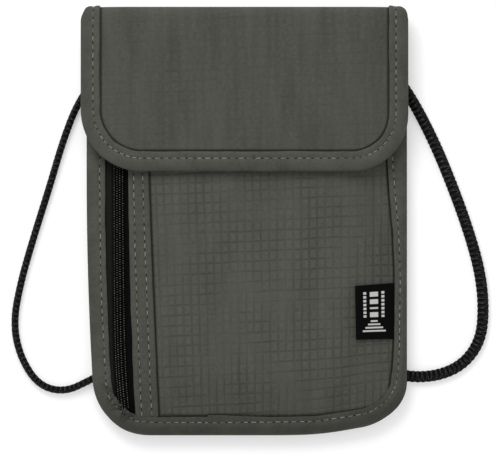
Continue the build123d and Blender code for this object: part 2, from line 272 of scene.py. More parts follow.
DRAPE_START, DRAPE_RUN, DRAPE_FALL = 52.0, 19.3, 5.5
TOP_CORNER_START, TOP_CORNER_RUN = 62.0, 9.3
NARROW_LEFT, NARROW_RIGHT, NARROW_DOWN = 1.6, 1.1, 1.3
WRINKLES_END, WRINKLES_FADE = 80.0, 12.0


def flap_face(x, q):
    """The flap's outer face, its sides let down and its top corners drawn in."""
    y, z = skin(q)
    drop = DRAPE_FALL * clamp((abs(x) - DRAPE_START) / DRAPE_RUN, 0.0, 1.1) ** 1.3
    z -= drop * (z - BACK_Z) / (FLAP_TOP - BACK_Z)
    over = ease((q - 87.0) / 8.0)
    back = ease((q - WALL_START) / (SKIN_END - WALL_START))
    beside = clamp((abs(x) - TOP_CORNER_START) / TOP_CORNER_RUN) ** 3
    inwards = NARROW_RIGHT * over - back if x > 0 else NARROW_LEFT * over + back
    narrow = copysign(beside * inwards, x)
    y -= NARROW_DOWN * beside * over * (1 - 0.6 * back)
    flat = 1 - ease((q - WRINKLES_END) / WRINKLES_FADE)
    depth = bpy.context.scene.pouch_sizes.flap_wrinkle / MM
    soft = 0.5 + 0.5 * ripple(x / 6.5, q / 55.0, 3.1)
    fine = 0.5 + 0.5 * ripple(x / 2.6 + 0.4 * ripple(x / 9, q / 20), q / 34.0, 8.4)
    z += depth * flat * (soft + 0.35 * fine)
    return Vector((x - narrow, y, z))


def off_flap(x, q, height):
    """A point at a height off the flap's outer face."""
    here, step = flap_face(x, q), 0.05
    normal = (flap_face(x + step, q) - here).cross(flap_face(x, q + step) - here).normalized()
    return here + normal * height


def edge_stations(left, right, bottom, top, corner_left, corner_right, step):
    """Stations down the left edge, round the bottom and up the right edge.
    Each is the edge's x and y, the way inwards, and the distance so far."""
    lines = (
        (Vector((left, top)), Vector((left, bottom + corner_left)), Vector((1, 0))),
        (Vector((left + corner_left, bottom)), Vector((right - corner_right, bottom)),
         Vector((0, 1))),
        (Vector((right, bottom + corner_right)), Vector((right, top)), Vector((-1, 0))),
    )
    arcs = (
        (Vector((left + corner_left, bottom + corner_left)), corner_left, pi),
        (Vector((right - corner_right, bottom + corner_right)), corner_right, 1.5 * pi),
    )
    stations, run = [], 0.0
    for index, (start, end, way) in enumerate(lines):
        length = (end - start).length
        count = ceil(length / step)
        for k in range(count + (index == 2)):
            stations.append((start.lerp(end, k / count), way, run + length * k / count))
        run += length
        if index < 2:
            centre, radius, first = arcs[index]
            length = radius * pi / 2
            count = ceil(length / step)
            for k in range(count):
                a = first + pi / 2 * k / count
                out = Vector((cos(a), sin(a)))
                stations.append((centre + out * radius, -out, run + length * k / count))
            run += length
    return stations


def station_at(stations, s):
    """The station at a distance along an edge, between two of its stations."""
    k = bisect([station[2] for station in stations], s) - 1
    k = min(max(k, 0), len(stations) - 2)
    first, last = stations[k], stations[k + 1]
    t = (s - first[2]) / (last[2] - first[2])
    return first[0].lerp(last[0], t), first[1].lerp(last[1], t).normalized(), s


# ------------------------------------------------------------------ mesh makers
def cloth(across, along, cut, lay, crease=None):
    """A sheet: a grid cut to shape on the flat, then laid in place. crease(x, y) says how
    deep in a seam's shade a point is, from 0 to 1."""
    mesh = bmesh.new()
    flat = mesh.loops.layers.uv.new("cloth")
    # the crease layer holds painted shade, which the finishes mix into their colour
    shaded = mesh.verts.layers.float.new("crease")
    bmesh.ops.create_grid(mesh, x_segments=across, y_segments=along, size=0.5)
    places = {vert: cut(vert.co.x + 0.5, vert.co.y + 0.5) for vert in mesh.verts}
    for face in mesh.faces:
        for loop in face.loops:
            loop[flat].uv = Vector(places[loop.vert]) * MM
    for vert, place in places.items():
        vert.co = lay(*place)
        vert[shaded] = crease(*place) if crease else 0.0
    return mesh


def window(left, right, bottom, top):
    """The cut of a plain rectangle."""
    return lambda u, v: (left + (right - left) * u, bottom + (top - bottom) * v)


def strip(section, stations, lay, crease=None):
    """A closed band: a section of (across, height) points carried through stations.
    crease(across, height, station) says how deep in shade a point is, from 0 to 1."""
    mesh = bmesh.new()
    flat = mesh.loops.layers.uv.new("cloth")
    # the crease layer holds painted shade, which the finishes mix into their colour
    shaded = mesh.verts.layers.float.new("crease")
    columns, rows = len(section), len(stations) - 1
    bmesh.ops.create_grid(mesh, x_segments=columns, y_segments=rows, size=0.5)
    girth = [0.0]
    for (a, b), (c, d) in zip(section, section[1:] + section[:1]):
        girth.append(girth[-1] + hypot(c - a, d - b))
    index = {vert: (round((vert.co.x + 0.5) * columns), round((vert.co.y + 0.5) * rows))
             for vert in mesh.verts}
    run, last = [0.0], None
    for station in stations:
        here = lay(*section[0], station)
        if last is not None:
            run.append(run[-1] + (here - last).length)
        last = here
    for face in mesh.faces:
        for loop in face.loops:
            column, row = index[loop.vert]
            loop[flat].uv = Vector((girth[column], run[row])) * MM
    for vert, (column, row) in index.items():
        vert.co = lay(*section[column % columns], stations[row])
        vert[shaded] = crease(*section[column % columns], stations[row]) if crease else 0.0
    bmesh.ops.remove_doubles(mesh, verts=mesh.verts, dist=1e-4)
    bmesh.ops.holes_fill(mesh, edges=[e for e in mesh.edges if e.is_boundary], sides=0)
    bmesh.ops.recalc_face_normals(mesh, faces=mesh.faces)
    return mesh


def bead(mesh, centre, along, up, size, round_about=8, blunt=0.6, rings=5):
    """A small rounded bar, such as a stitch or a zip tooth; size is long, wide, high."""
    made = bmesh.ops.create_uvsphere(
        mesh, u_segments=round_about, v_segments=rings, radius=0.5)["verts"]
    along = along.normalized()
    side = along.cross(up).normalized()
    up = side.cross(along)
    for vert in made:
        x, y, z = vert.co
        far = copysign(abs(2 * z) ** blunt, z) / 2
        vert.co = centre + along * far * size[0] + side * x * size[1] + up * y * size[2]


def stitch_row(mesh, hole_shade, point, length):
    """Stitches and the needle holes between them, along a line that point(distance)
    gives as a place and a way up."""
    sizes = bpy.context.scene.pouch_sizes
    pitch, long = sizes.stitch_pitch / MM, sizes.stitch_length / MM
    thick = sizes.thread / MM
    count = int(length / pitch)
    for k in range(count):
        s = (k + 0.5) * length / count
        here, up = point(s)
        along = point(s + 0.4)[0] - point(s - 0.4)[0]
        along = along.normalized() + 0.10 * ripple(k * 1.7, s, 5.5) * along.cross(up).normalized()
        long_here = long * (1 + 0.22 * ripple(k * 2.3, 4.0, 1.5))
        bead(mesh, here, along, up, (long_here, thick, thick * 0.8), 6, 0.75)
        # painted shade: a flat dark bead over the needle hole between two stitches, where the thread dips
        # into the cloth
        if hole_shade:
            here, up = point(s + 0.5 * length / count)
            bead(hole_shade, here - up * 0.02, along, up, (pitch - long + 0.25, 0.62, 0.18), 6, 0.9, 4)


def sewn_rows(name, mesh, hole_shade, body=None):
    """The threads and the needle holes of rows of stitches, as two pieces."""
    return (complete(mesh, f"{name}_stitches", sewing_thread(), "binding", body),
            complete(hole_shade, f"{name}_needle_hole_shade", dark_thread(), "binding", body))


def complete(mesh, name, finish, slot, body=None, stands_for=(), wall=0.0, levels=0, side=-1):
    """Turn a bmesh in millimetres into a named piece that rides on a body."""
    bmesh.ops.scale(mesh, vec=(MM, MM, MM), verts=mesh.verts)
    data = bpy.data.meshes.new(name)
    mesh.to_mesh(data)
    mesh.free()
    data.shade_smooth()
    data.materials.append(finish)
    piece = bpy.data.objects.new(name, data)
    bpy.context.scene.collection.objects.link(piece)
    if wall:
        thick = piece.modifiers.new("Cloth wall", "SOLIDIFY")
        thick.thickness, thick.offset = wall * MM, side
    if levels:
        soft = piece.modifiers.new("Soften", "SUBSURF")
        soft.levels = soft.render_levels = levels
    if body:
        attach(piece, body)
    if stands_for:
        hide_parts(*stands_for)
    return piece


# ------------------------------------------------------------------ finishes
class Wire:
    """A number that changes over a surface, so that plain sums make Math nodes."""

    def __init__(self, finish, socket):
        self.finish, self.socket = finish, socket

    def __add__(self, other):
        return self.finish.math("ADD", self, other)

    def __sub__(self, other):
        return self.finish.math("SUBTRACT", self, other)

    def __rsub__(self, other):
        return self.finish.math("SUBTRACT", other, self)

    def __mul__(self, other):
        return self.finish.math("MULTIPLY", self, other)

    def __truediv__(self, other):
        return self.finish.math("DIVIDE", self, other)

    def __abs__(self):
        return self.finish.math("ABSOLUTE", self)

    __radd__, __rmul__ = __add__, __mul__


class Finish:
    """A material being put together, node by node."""

    def __init__(self, name, roughness=0.8, gloss=0.12, **uniform):
        self.material = bpy.data.materials.new(name)
        self.material.use_nodes = True
        self.nodes = self.material.node_tree.nodes
        self.shader = self.nodes["Principled BSDF"]
        self.shader.inputs["Roughness"].default_value = roughness
        self.shader.inputs["Specular IOR Level"].default_value = gloss
        for socket, value in uniform.items():
            self.shader.inputs[socket.replace("_", " ").title()].default_value = value

    def feed(self, socket, value):
        """Link a socket, or set it if the value is plain."""
        value = value.socket if isinstance(value, Wire) else value
        if isinstance(value, bpy.types.NodeSocket):
            self.material.node_tree.links.new(value, socket)
        else:
            socket.default_value = value

    def add(self, kind, settings=None, values=None):
        """Any node, given its settings and then the values or links of its sockets."""
        node = self.nodes.new(kind)
        for key, value in (settings or {}).items():
            setattr(node, key, value)
        for key, value in (values or {}).items():
            self.feed(node.inputs[key], value)
        return node

    def math(self, operation, *values):
        """A sum on numbers."""
        node = self.add("ShaderNodeMath", {"operation": operation}, dict(enumerate(values)))
        return Wire(self, node.outputs[0])

    def flat(self):
        """The piece's cloth coordinates in metres, as a vector and its two numbers."""
        vector = self.add("ShaderNodeTexCoord").outputs["UV"]
        parts = self.add("ShaderNodeSeparateXYZ", None, {0: vector}).outputs
        return vector, Wire(self, parts[0]), Wire(self, parts[1])

    def solid(self):
        """Object coordinates, for what has no cloth coordinates."""
        return self.add("ShaderNodeTexCoord").outputs["Object"]

    def noise(self, vector, scale, detail=2.0, stretch=None):
        """Uneven tone from 0 to 1; stretch draws it out along an axis."""
        if stretch:
            drawn_out = {"Vector": vector, "Scale": stretch}
            vector = self.add("ShaderNodeMapping", None, drawn_out).outputs[0]
        node = self.add("ShaderNodeTexNoise", None,
                        {"Vector": vector, "Scale": scale, "Detail": detail})
        return Wire(self, node.outputs[0])

    def creased(self):
        """How deep in a seam's or crease's shade the surface is, from 0 to 1."""
        node = self.add("ShaderNodeAttribute", {"attribute_name": "crease"})
        return Wire(self, node.outputs["Fac"])

    def lines(self, place, pitch, width):
        """1 in the middle of each of a set of even lines and 0 beside them."""
        beside = abs(self.math("FRACT", place / pitch) - 0.5)
        step = self.add("ShaderNodeMapRange", {"interpolation_type": "SMOOTHSTEP"},
                        {0: beside, 1: 0.5 - width / pitch / 2, 2: 0.5, 3: 0.0, 4: 1.0})
        return Wire(self, step.outputs[0])

    def wave(self, place, pitch):
        """An even rise and fall from -1 to 1."""
        return self.math("SINE", place * (2 * pi / pitch))

    def reach(self, value, low, high):
        """0 below one value and 1 above another, with a smooth step between."""
        node = self.add("ShaderNodeMapRange", {"interpolation_type": "SMOOTHSTEP"},
                        {0: value, 1: low, 2: high, 3: 0.0, 4: 1.0})
        return Wire(self, node.outputs[0])

    def colour(self, share, first, second):
        """A colour between two, which may themselves be mixed."""
        first, second = (c if isinstance(c, bpy.types.NodeSocket) else (*c, 1)
                         for c in (first, second))
        node = self.add("ShaderNodeMix", {"data_type": "RGBA"}, {0: share, 6: first, 7: second})
        return node.outputs[2]

    def done(self, colour, height=None, depth=0.1, roughness=None):
        """Join the colour, the relief in millimetres and the roughness to the shader."""
        self.feed(self.shader.inputs["Base Color"], colour)
        if height is not None:
            relief = self.add("ShaderNodeBump", None,
                              {"Height": height, "Distance": depth * MM, "Strength": 1.0})
            self.feed(self.shader.inputs["Normal"], relief.outputs[0])
        if roughness is not None:
            self.feed(self.shader.inputs["Roughness"], roughness)
        return self.material


def shade(colour, by):
    """A colour made lighter or darker by a share."""
    return tuple(clamp(c * by) for c in colour)


def kept(make):
    """Make a finish once and hand out the same one after that."""
    def once():
        """The finish, made the first time it is asked for."""
        name = make.__name__
        return bpy.data.materials.get(name) or make(name, bpy.context.scene.pouch_colours)
    once.__doc__ = make.__doc__
    return once


def ripstop(name, colour, grid, relief, soft):
    """Plain weave crossed by a grid of thicker threads that show more in some places;
    soft says how much the cloth's tone drifts in upright streaks."""
    sizes = bpy.context.scene.pouch_sizes
    f = Finish(name, 0.86, sheen_weight=0.03, sheen_roughness=0.5)
    vector, x, y = f.flat()
    sway = f.noise(vector, 45, 2)
    sway_too = f.noise(vector, 60, 2)
    across = x + (sway - 0.5) * 0.0013
    along = y - x * 0.045 + (sway_too - 0.5) * 0.0015
    patchy = f.reach(f.noise(vector, 48, 2), 0.32, 0.60) * 0.8 + 0.2
    patchy_too = f.reach(f.noise(vector, 42, 2), 0.34, 0.60) * 0.8 + 0.2
    upright = f.lines(across, sizes.grid_across, 0.0016) * patchy
    level = f.lines(along, sizes.grid_along, 0.0016) * patchy_too
    cross = f.math("MAXIMUM", upright, level)
    weave = f.wave(x, 0.0006) * f.wave(y, 0.0006)
    grain = f.noise(vector, 620, 4)
    streak = f.noise(vector, 340, 3, (1.0, 0.13, 1.0))
    band = f.noise(vector, 80, 2, (1.0, 0.2, 1.0))
    cloudy = f.noise(vector, 30, 3)
    tone = f.colour(cross * grid, shade(colour, 1.08), shade(colour, 0.5))
    tone = f.colour((grain - 0.5) * 2.4 + 0.35, tone, shade(colour, 0.70))
    # painted sheen and shade: darker and lighter upright streaks stand for light falling across soft
    # upright wrinkles
    tone = f.colour((streak - 0.5) * (1.2 + soft) + 0.25, tone, shade(colour, 0.70))
    tone = f.colour((band - 0.5) * (0.8 + 0.4 * soft) + 0.25, tone, shade(colour, 1.3))
    # painted shade beside the band and where the cloth goes in under its binding, read from the crease
    # layer
    tone = f.colour(f.creased() * 0.95, tone, shade(colour, 0.08))
    relief_all = weave * 0.12 + grain * 0.8 - cross * relief + cloudy + streak + band * soft
    return f.done(tone, relief_all, 0.25)


@kept
def front_cloth(name, colours):
    """The front's ripstop."""
    return ripstop(name, shade(colours.cloth, 1.08), 1.0, 0.9, 0.4)


@kept
def flap_cloth(name, colours):
    """The flap's ripstop, whose grid is fainter."""
    # painted shade: 0.95 against the front's 1.08, to offset the extra light on the flap
    return ripstop(name, shade(colours.cloth, 0.95), 0.24, 0.4, 1.0)


@kept
def binding_tape(name, colours):
    """Soft ribbed binding, a little lighter along its edges."""
    f = Finish(name, 0.84, sheen_weight=0.03, sheen_roughness=0.5)
    vector, x, y = f.flat()
    rib = f.wave(y, 0.0007)
    grain = f.noise(vector, 620, 4)
    cloudy = f.noise(vector, 90, 3)
    outer = f.reach(x, 0.0036, 0.0064) - f.reach(x, 0.0150, 0.0175)
    tone = f.colour(outer, shade(colours.binding, 1.12), shade(colours.binding, 0.92))
    tone = f.colour((grain - 0.5) * 2.0 + 0.3, tone, shade(colours.binding, 0.70))
    tone = f.colour((cloudy - 0.5) * 2.0 + 0.25, tone, shade(colours.binding, 1.3))
    # painted shade in the corner's pleats and along the bottom run, read from the crease layer
    tone = f.colour(f.creased() * 0.9, tone, shade(colours.binding, 0.1))
    return f.done(tone, rib * 0.15 + grain * 0.8 + cloudy * 1.2, 0.25)


@kept
def lining_cloth(name, colours):
    """Smooth close-woven lining."""
    f = Finish(name, 0.7, 0.2)
    vector, x, y = f.flat()
    weave = f.wave(x, 0.0005) * f.wave(y, 0.0005)
    cloudy = f.noise(vector, 45, 3)
    tone = f.colour(cloudy * 0.6, shade(colours.lining, 0.9), shade(colours.lining, 1.1))
    return f.done(tone, weave * 0.15 + cloudy * 0.8, 0.14)


@kept
def zip_tape(name, colours):
    """Black herringbone tape."""
    f = Finish(name, 0.72, 0.06)
    vector, x, y = f.flat()
    slant = f.wave(y + abs(f.wave(x, 0.0024)) * 0.0006, 0.0009)
    grain = f.noise(vector, 900, 2)
    tone = f.colour(slant * 0.3 + 0.35, shade(colours.tape, 0.6), shade(colours.tape, 1.5))
    # painted shade at the coil's foot, under the binding and under the band, read from the crease layer
    tone = f.colour(f.creased(), tone, shade(colours.tape, 0.1))
    return f.done(tone, slant * 0.6 + grain * 0.4, 0.1)


@kept
def zip_nylon(name, colours):
    """Glossy nylon of the coil."""
    f = Finish(name, 0.4, 0.06)
    worn = f.noise(f.solid(), 240, 2)
    tone = f.colour(worn, shade(colours.tooth, 0.75), shade(colours.tooth, 1.6))
    return f.done(tone, worn, 0.05, worn * 0.2 + 0.3)


@kept
def sewing_thread(name, colours):
    """Twisted thread, paler than the cloth."""
    f = Finish(name, 0.6, 0.2)
    place = f.solid()
    twist = f.noise(place, 1400, 2)
    worn = f.reach(f.noise(place, 260, 2), 0.38, 0.62)
    tone = f.colour(worn, shade(colours.thread, 0.5), shade(colours.thread, 1.1))
    tone = f.colour((twist - 0.5) * 1.2, tone, shade(colours.thread, 0.4))
    return f.done(tone, twist, 0.08)


@kept
def dark_thread(name, colours):
    """Black thread for the bar-tacks, coil seams and label."""
    f = Finish(name, 0.6, 0.1)
    twist = f.noise(f.solid(), 1400, 2)
    return f.done(f.colour(twist, shade(colours.tape, 0.8), shade(colours.tape, 2.2)), twist, 0.08)


@kept
def coil_thread(name, colours):
    """Shiny grey thread that sews the coil to its tapes."""
    f = Finish(name, 0.45, 0.4)
    twist = f.noise(f.solid(), 700, 2)
    # painted glints: the thread's light grey makes the bright dots along the coil
    tone = f.colour(f.reach(twist, 0.35, 0.65), shade(colours.thread, 0.25),
                    shade(colours.thread, 0.85))
    return f.done(tone, twist, 0.05)


@kept
def enamel(name, colours):
    """Black enamel on die-cast metal, rubbed through in small specks."""
    f = Finish(name, 0.32, 0.3)
    place = f.solid()
    dust = f.noise(place, 900, 3)
    rub = f.reach(f.noise(place, 700, 3), 0.62, 0.72) * 0.5
    f.feed(f.shader.inputs["Metallic"], rub)
    tone = f.colour(rub, shade(colours.enamel, 0.8), (0.42, 0.42, 0.42))
    return f.done(tone, dust, 0.02, dust * 0.25 + 0.25)


@kept
def neck_braid(name, colours):
    """Braided cord: two sets of strands that cross, with fine filaments along them."""
    f = Finish(name, 0.66, 0.1)
    vector, x, y = f.flat()
    one = f.wave(y + x * 0.55, 0.0023)
    two = f.wave(y - x * 0.55, 0.0023)
    strands = f.math("MAXIMUM", one, two)
    hair = f.noise(vector, 1500, 2)
    # painted light and shade: the strands' crests lighter and the hollows between them darker
    tone = f.colour(strands * 0.5 + 0.2, shade(colours.cord, 0.3), shade(colours.cord, 2.4))
    # painted glints on the filaments at the strands' crests
    painted_glint = f.reach(strands + hair * 0.8, 1.05, 1.45) * f.reach(hair, 0.42, 0.62)
    tone = f.colour(painted_glint, tone, shade(colours.cord, 14.0))
    return f.done(tone, strands * 0.8 + hair * 0.5, 0.35)


@kept
def webbing(name, colours):
    """Black ribbed webbing of the cord's tunnels."""
    f = Finish(name, 0.75, 0.1)
    vector, x, y = f.flat()
    rib = f.wave(x, 0.0011)
    cross = f.wave(y, 0.0008)
    tone = f.colour(rib * 0.3 + cross * 0.15 + 0.5, shade(colours.tape, 0.8),
                    shade(colours.tape, 1.8))
    return f.done(tone, rib * 0.7 + cross * 0.4, 0.15)


@kept
def foil(name, colours):
    """Crinkled metal-coated shielding."""
    f = Finish(name, 0.42, 0.5, metallic=0.85)
    place = f.solid()
    crease = f.noise(place, 160, 3)
    tone = f.colour(crease, shade(colours.foil, 0.75), shade(colours.foil, 1.15))
    return f.done(tone, crease, 0.3, crease * 0.3 + 0.25)


@kept
def pile(name, colours):
    """Fuzzy loops and the ground of the hooks."""
    f = Finish(name, 0.9, 0.05, sheen_weight=0.05)
    place = f.solid()
    fuzz = f.noise(place, 1300, 3)
    clump = f.noise(place, 300, 2)
    tone = f.colour(fuzz * 0.6 + clump * 0.3, shade(colours.pile, 0.45), shade(colours.pile, 2.0))
    return f.done(tone, fuzz + clump * 0.6, 0.3)


@kept
def woven_mark(name, colours):
    """Black satin label with plain blocks, dashes and widening bars woven in."""
    f = Finish(name, 0.6, 0.05)
    vector, x, y = f.flat()
    warp = f.wave(x, 0.00035)
    weft = f.wave(y, 0.00045)

    def bar(cx, cy, wide, high):
        """A woven bar, given its middle and size in millimetres."""
        inside_x = 1 - f.reach(abs(x - cx * MM), (wide / 2 - 0.12) * MM, (wide / 2 + 0.12) * MM)
        inside_y = 1 - f.reach(abs(y - cy * MM), (high / 2 - 0.12) * MM, (high / 2 + 0.12) * MM)
        return inside_x * inside_y

    marks = 0.0
    for cy, high in ((21.2, 2.6), (17.9, 2.6), (15.0, 1.3), (12.0, 2.8)):
        marks = f.math("MAXIMUM", marks, bar(8.0, cy, 3.6, high - 0.5))
    for cx in (4.0, 11.9):
        for k in range(7):
            marks = f.math("MAXIMUM", marks, bar(cx, 21.8 - 1.75 * k, 1.3, 1.1))
    for cy, wide in ((8.9, 3.0), (7.3, 5.4), (5.7, 7.8), (4.1, 10.2)):
        marks = f.math("MAXIMUM", marks, bar(8.0, cy, wide, 0.8))
    ground = f.colour(warp * weft * 0.3 + 0.4, shade(colours.label, 0.7), shade(colours.label, 2.0))
    tone = f.colour(marks * (0.8 + weft * 0.2), ground, colours.mark)
    return f.done(tone, marks * 0.8 + warp * 0.2 + weft * 0.2, 0.08)


# ------------------------------------------------------------------ operators
class PouchOperator(bpy.types.Operator):
    """Base of the pouch's operators."""
    bl_idname = "pouch.base"
    bl_label = "Pouch piece"
    bl_options = {"REGISTER", "UNDO"}

    def execute(self, context):
        """Build the piece."""
        self.build(context.scene.pouch_sizes)
        return {"FINISHED"}


FLOOR_GAP, FLOOR_HALF = 0.02, 1.6
FLOOR_TONES = (0.62,) * 3, (0.64,) * 3
FLOOR_GLOW = 0.40
LAMP_PLACE, LAMP_POWER, LAMP_SIZE = Vector((-0.24, 0.63, 0.70)), 5.5, 0.5
SKY_STRENGTH = 0.79
CAMERA_PLACE, CAMERA_LENS = (0.00152, -0.00672, 1.502), 251.0


class POUCH_OT_stage(PouchOperator):
    """White floor, soft light from above the fold and a camera straight overhead"""
    bl_idname = "pouch.stage"
    bl_label = "Stage"

    def build(self, sizes):
        """Floor, lights, surroundings and camera."""
        mesh = bmesh.new()
        bmesh.ops.create_grid(mesh, x_segments=8, y_segments=8, size=FLOOR_HALF)
        bmesh.ops.translate(mesh, verts=mesh.verts, vec=(0, 0, (CORD_LOW.z - FLOOR_GAP) * MM))
        data = bpy.data.meshes.new("floor")
        mesh.to_mesh(data)
        mesh.free()
        f = Finish("pale_floor", 0.9)
        speck = f.noise(f.solid(), 300, 2)
        data.materials.append(f.done(f.colour(speck, *FLOOR_TONES)))
        f.shader.inputs["Emission Color"].default_value = (1, 1, 1, 1)
        f.shader.inputs["Emission Strength"].default_value = FLOOR_GLOW
        floor = bpy.data.objects.new("floor", data)
        bpy.context.scene.collection.objects.link(floor)

        lamp = bpy.data.lights.new("key", "AREA")
        lamp.energy, lamp.size = LAMP_POWER, LAMP_SIZE
        holder = bpy.data.objects.new("key", lamp)
        holder.location = LAMP_PLACE
        holder.rotation_mode = "QUATERNION"
        holder.rotation_quaternion = (-LAMP_PLACE).to_track_quat("-Z", "Y")
        bpy.context.scene.collection.objects.link(holder)

        world = bpy.data.worlds.new("studio")
        world.use_nodes = True
        sky = world.node_tree.nodes["Background"].inputs
        sky[0].default_value, sky[1].default_value = (1, 1, 1, 1), SKY_STRENGTH
        bpy.context.scene.world = world
        bpy.context.scene.view_settings.view_transform = "Standard"

        lens = bpy.data.cameras.new("overhead")
        lens.sensor_width, lens.lens = 36.0, CAMERA_LENS
        lens.clip_start, lens.clip_end = 0.05, 20.0
        camera = bpy.data.objects.new("overhead", lens)
        camera.location = CAMERA_PLACE
        bpy.context.scene.collection.objects.link(camera)
        bpy.context.scene.camera = camera


LEFT_ROUTE = (
    (-48.9, 83.0), (-55.9, 74.0), (-63.0, 65.0), (-72.6, 52.5), (-79.2, 35.5), (-85.0, 15.5),
    (-91.5, -5.0), (-97.5, -25.5), (-101.0, -44.0), (-98.0, -59.0), (-90.0, -71.5),
    (-78.5, -74.5), (-67.0, -69.0), (-52.5, -61.5), (-33.0, -52.0), (-13.0, -42.5),
    (4.0, -34.0),
)
RIGHT_ROUTE = (
    (48.9, 83.0), (55.9, 74.0), (63.3, 66.6), (72.2, 55.2), (82.4, 35.8), (90.8, 15.5),
    (98.0, -4.5), (103.0, -22.5), (104.5, -38.5), (103.0, -52.0), (96.0, -62.0),
    (85.0, -67.3), (71.5, -68.0), (57.5, -64.0), (47.5, -53.5), (41.5, -38.5),
    (38.0, -21.0), (36.0, -4.0),
)
COIL_INNER, COIL_PITCH = 18.0, 9.4
COIL_STEP, RETURN_STEP = 22.5, 30
BRAID_LAY, BRAID_AROUND = 9.2, 16
LEFT_TURN, RIGHT_TURN = 515.0, 625.0


def cord_route():
    """The cord's whole route: left side, coil behind the pouch, right side."""
    def ends_up(route):
        """The first two points lie in the tunnel and the rest on the floor."""
        return [(x, y, CORD_END if k < 2 else CORD_LEVEL) for k, (x, y) in enumerate(route)]

    def round_coil(turn, first, way):
        """A point of the flat double spiral."""
        r, a = COIL_INNER + COIL_PITCH * turn / 360, radians(first + way * turn)
        return r * cos(a), r * sin(a), CORD_LEVEL

    route = ends_up(LEFT_ROUTE)
    steps = int(LEFT_TURN // COIL_STEP)
    route += [round_coil(COIL_STEP * k, 90, -1) for k in range(steps, -1, -1)]
    half = COIL_INNER / 2
    for centre, first, way in ((half, 90, 1), (-half, 90, -1)):
        for k in range(1, 6 if way < 0 else 7):
            a = radians(first + way * RETURN_STEP * k)
            route.append((half * cos(a), centre + half * sin(a), CORD_LEVEL))
    steps = int(RIGHT_TURN // COIL_STEP)
    route += [round_coil(COIL_STEP * k, 270, -1) for k in range(steps + 1)]
    return route + ends_up(RIGHT_ROUTE)[::-1]


def spline_points(route, name):
    """Points of the smooth NURBS line through a route, read from a plain curve."""
    curve = bpy.data.curves.new(name, "CURVE")
    curve.dimensions = "3D"
    spline = curve.splines.new("NURBS")
    spline.points.add(len(route) - 1)
    for point, place in zip(spline.points, route):
        point.co = (*(Vector(place) * MM), 1)
    spline.order_u = 3
    spline.use_endpoint_u = True
    spline.resolution_u = 20
    holder = bpy.data.objects.new(name, curve)
    bpy.context.scene.collection.objects.link(holder)
    line = bpy.data.meshes.new_from_object(holder)
    points = [vert.co / MM for vert in line.vertices]
    bpy.data.objects.remove(holder)
    bpy.data.meshes.remove(line)
    return points


class POUCH_OT_cord(PouchOperator):
    """Braided neck cord, from one tunnel to the other"""
    bl_idname = "pouch.cord"
    bl_label = "Neck cord"

    def build(self, sizes):
        """Braid a tube round the cord's line."""
        points = spline_points(cord_route(), "cord_line")
        length = sum((b - a).length for a, b in zip(points, points[1:]))
        stations, run = [], 0.0
        for k, here in enumerate(points):
            before, after = points[max(k - 1, 0)], points[min(k + 1, len(points) - 1)]
            along = (after - before).normalized()
            side = along.cross(UP).normalized()
            stations.append((here, side, side.cross(along), run))
            run += (after - here).length
        around = BRAID_AROUND
        section = [(cos(2 * pi * k / around), sin(2 * pi * k / around)) for k in range(around)]
        turns = {place: k for k, place in enumerate(section)}

        def oval_at(run):
            """How oval the braid is: on edge at the left end, on its flat at the right."""
            return 0.24 * cos(pi * ease(run / length)) - 0.05

        def lay(c, s, station):
            """A point on the braid, its strands standing a little proud."""
            here, side, up, run = station
            angle = 2 * pi * turns[c, s] / around
            strands = max(cos(4 * angle + 2 * pi * run / BRAID_LAY * 4),
                          cos(4 * angle - 2 * pi * run / BRAID_LAY * 4))
            r = CORD_DIAMETER / 2 * (0.945 + 0.055 * strands)
            oval = oval_at(run)
            return here + side * c * r * (1 - oval) + up * s * r * (1 + min(oval, 0.0))

        piece = complete(strip(section, stations, lay), "neck_cord", neck_braid(), "cord",
                         "pouch", ("neck_cord_left", "neck_cord_coil", "neck_cord_right"))
        path = [point * MM for point in points]
        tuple(path[0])


TUNNEL_HALF, TUNNEL_WALL, TUNNEL_ANGLE, TACK_ROW, TACK_COUNT = 6.0, 0.8, 38, 5.1, 16


class POUCH_OT_tunnels(PouchOperator):
    """Webbing tunnels that hold the cord's ends, each with two bar-tacks"""
    bl_idname = "pouch.tunnels"
    bl_label = "Cord tunnels"

    def build(self, sizes):
        """One tunnel at each side of the back."""
        half, wall, hump = TUNNEL_HALF, TUNNEL_WALL, CORD_DIAMETER / 2 + PLY_GAP
        top = BACK_Z - PLY_GAP
        lean_out = radians(TUNNEL_ANGLE)
        for side, name in ((-1, "left"), (1, "right")):
            low, high = box_mm(f"cord_anchor_{name}")
            middle = Vector(((low.x + high.x) / 2, (low.y + high.y) / 2, top))
            along = Vector((side * sin(lean_out), -cos(lean_out), 0))
            across = along.cross(UP)

            def sag(n):
                """How far the webbing stands off the back at a distance from the cord."""
                near = clamp(1 - (abs(n) - hump * 0.55) / 2.3)
                return (2 * hump) * ease(near) ** 0.9

            def lay(n, s):
                """A point of the webbing's inner face."""
                return middle + across * n + along * s - UP * (0.05 + sag(n))

            mesh = cloth(40, 24, window(-half, half, -half, half), lay)
            complete(mesh, f"cord_tunnel_{name}", webbing(), "webbing", "pouch",
                     (f"cord_anchor_{name}",), wall)
            mesh = bmesh.new()
            for n in (-TACK_ROW, TACK_ROW):
                for k in range(TACK_COUNT):
                    s = -4.6 + 9.2 * k / (TACK_COUNT - 1)
                    here = middle + across * n + along * s - UP * (wall + 0.1)
                    bead(mesh, here, across + along * (0.25 if k % 2 else -0.25), -UP,
                         (1.6, 0.4, 0.3), 6)
            complete(mesh, f"tunnel_tacks_{name}", dark_thread(), "webbing", "pouch")


def body_cut(inset, top):
    """The cut of a full body ply, set in from the outline."""
    def cut(u, v):
        """A point of the ply on the flat."""
        y = BOTTOM + inset + (top - BOTTOM - inset) * v
        left, right = span_at(y, inset)
        return left + (right - left) * u, y
    return cut


PLY_INSET = 3.4


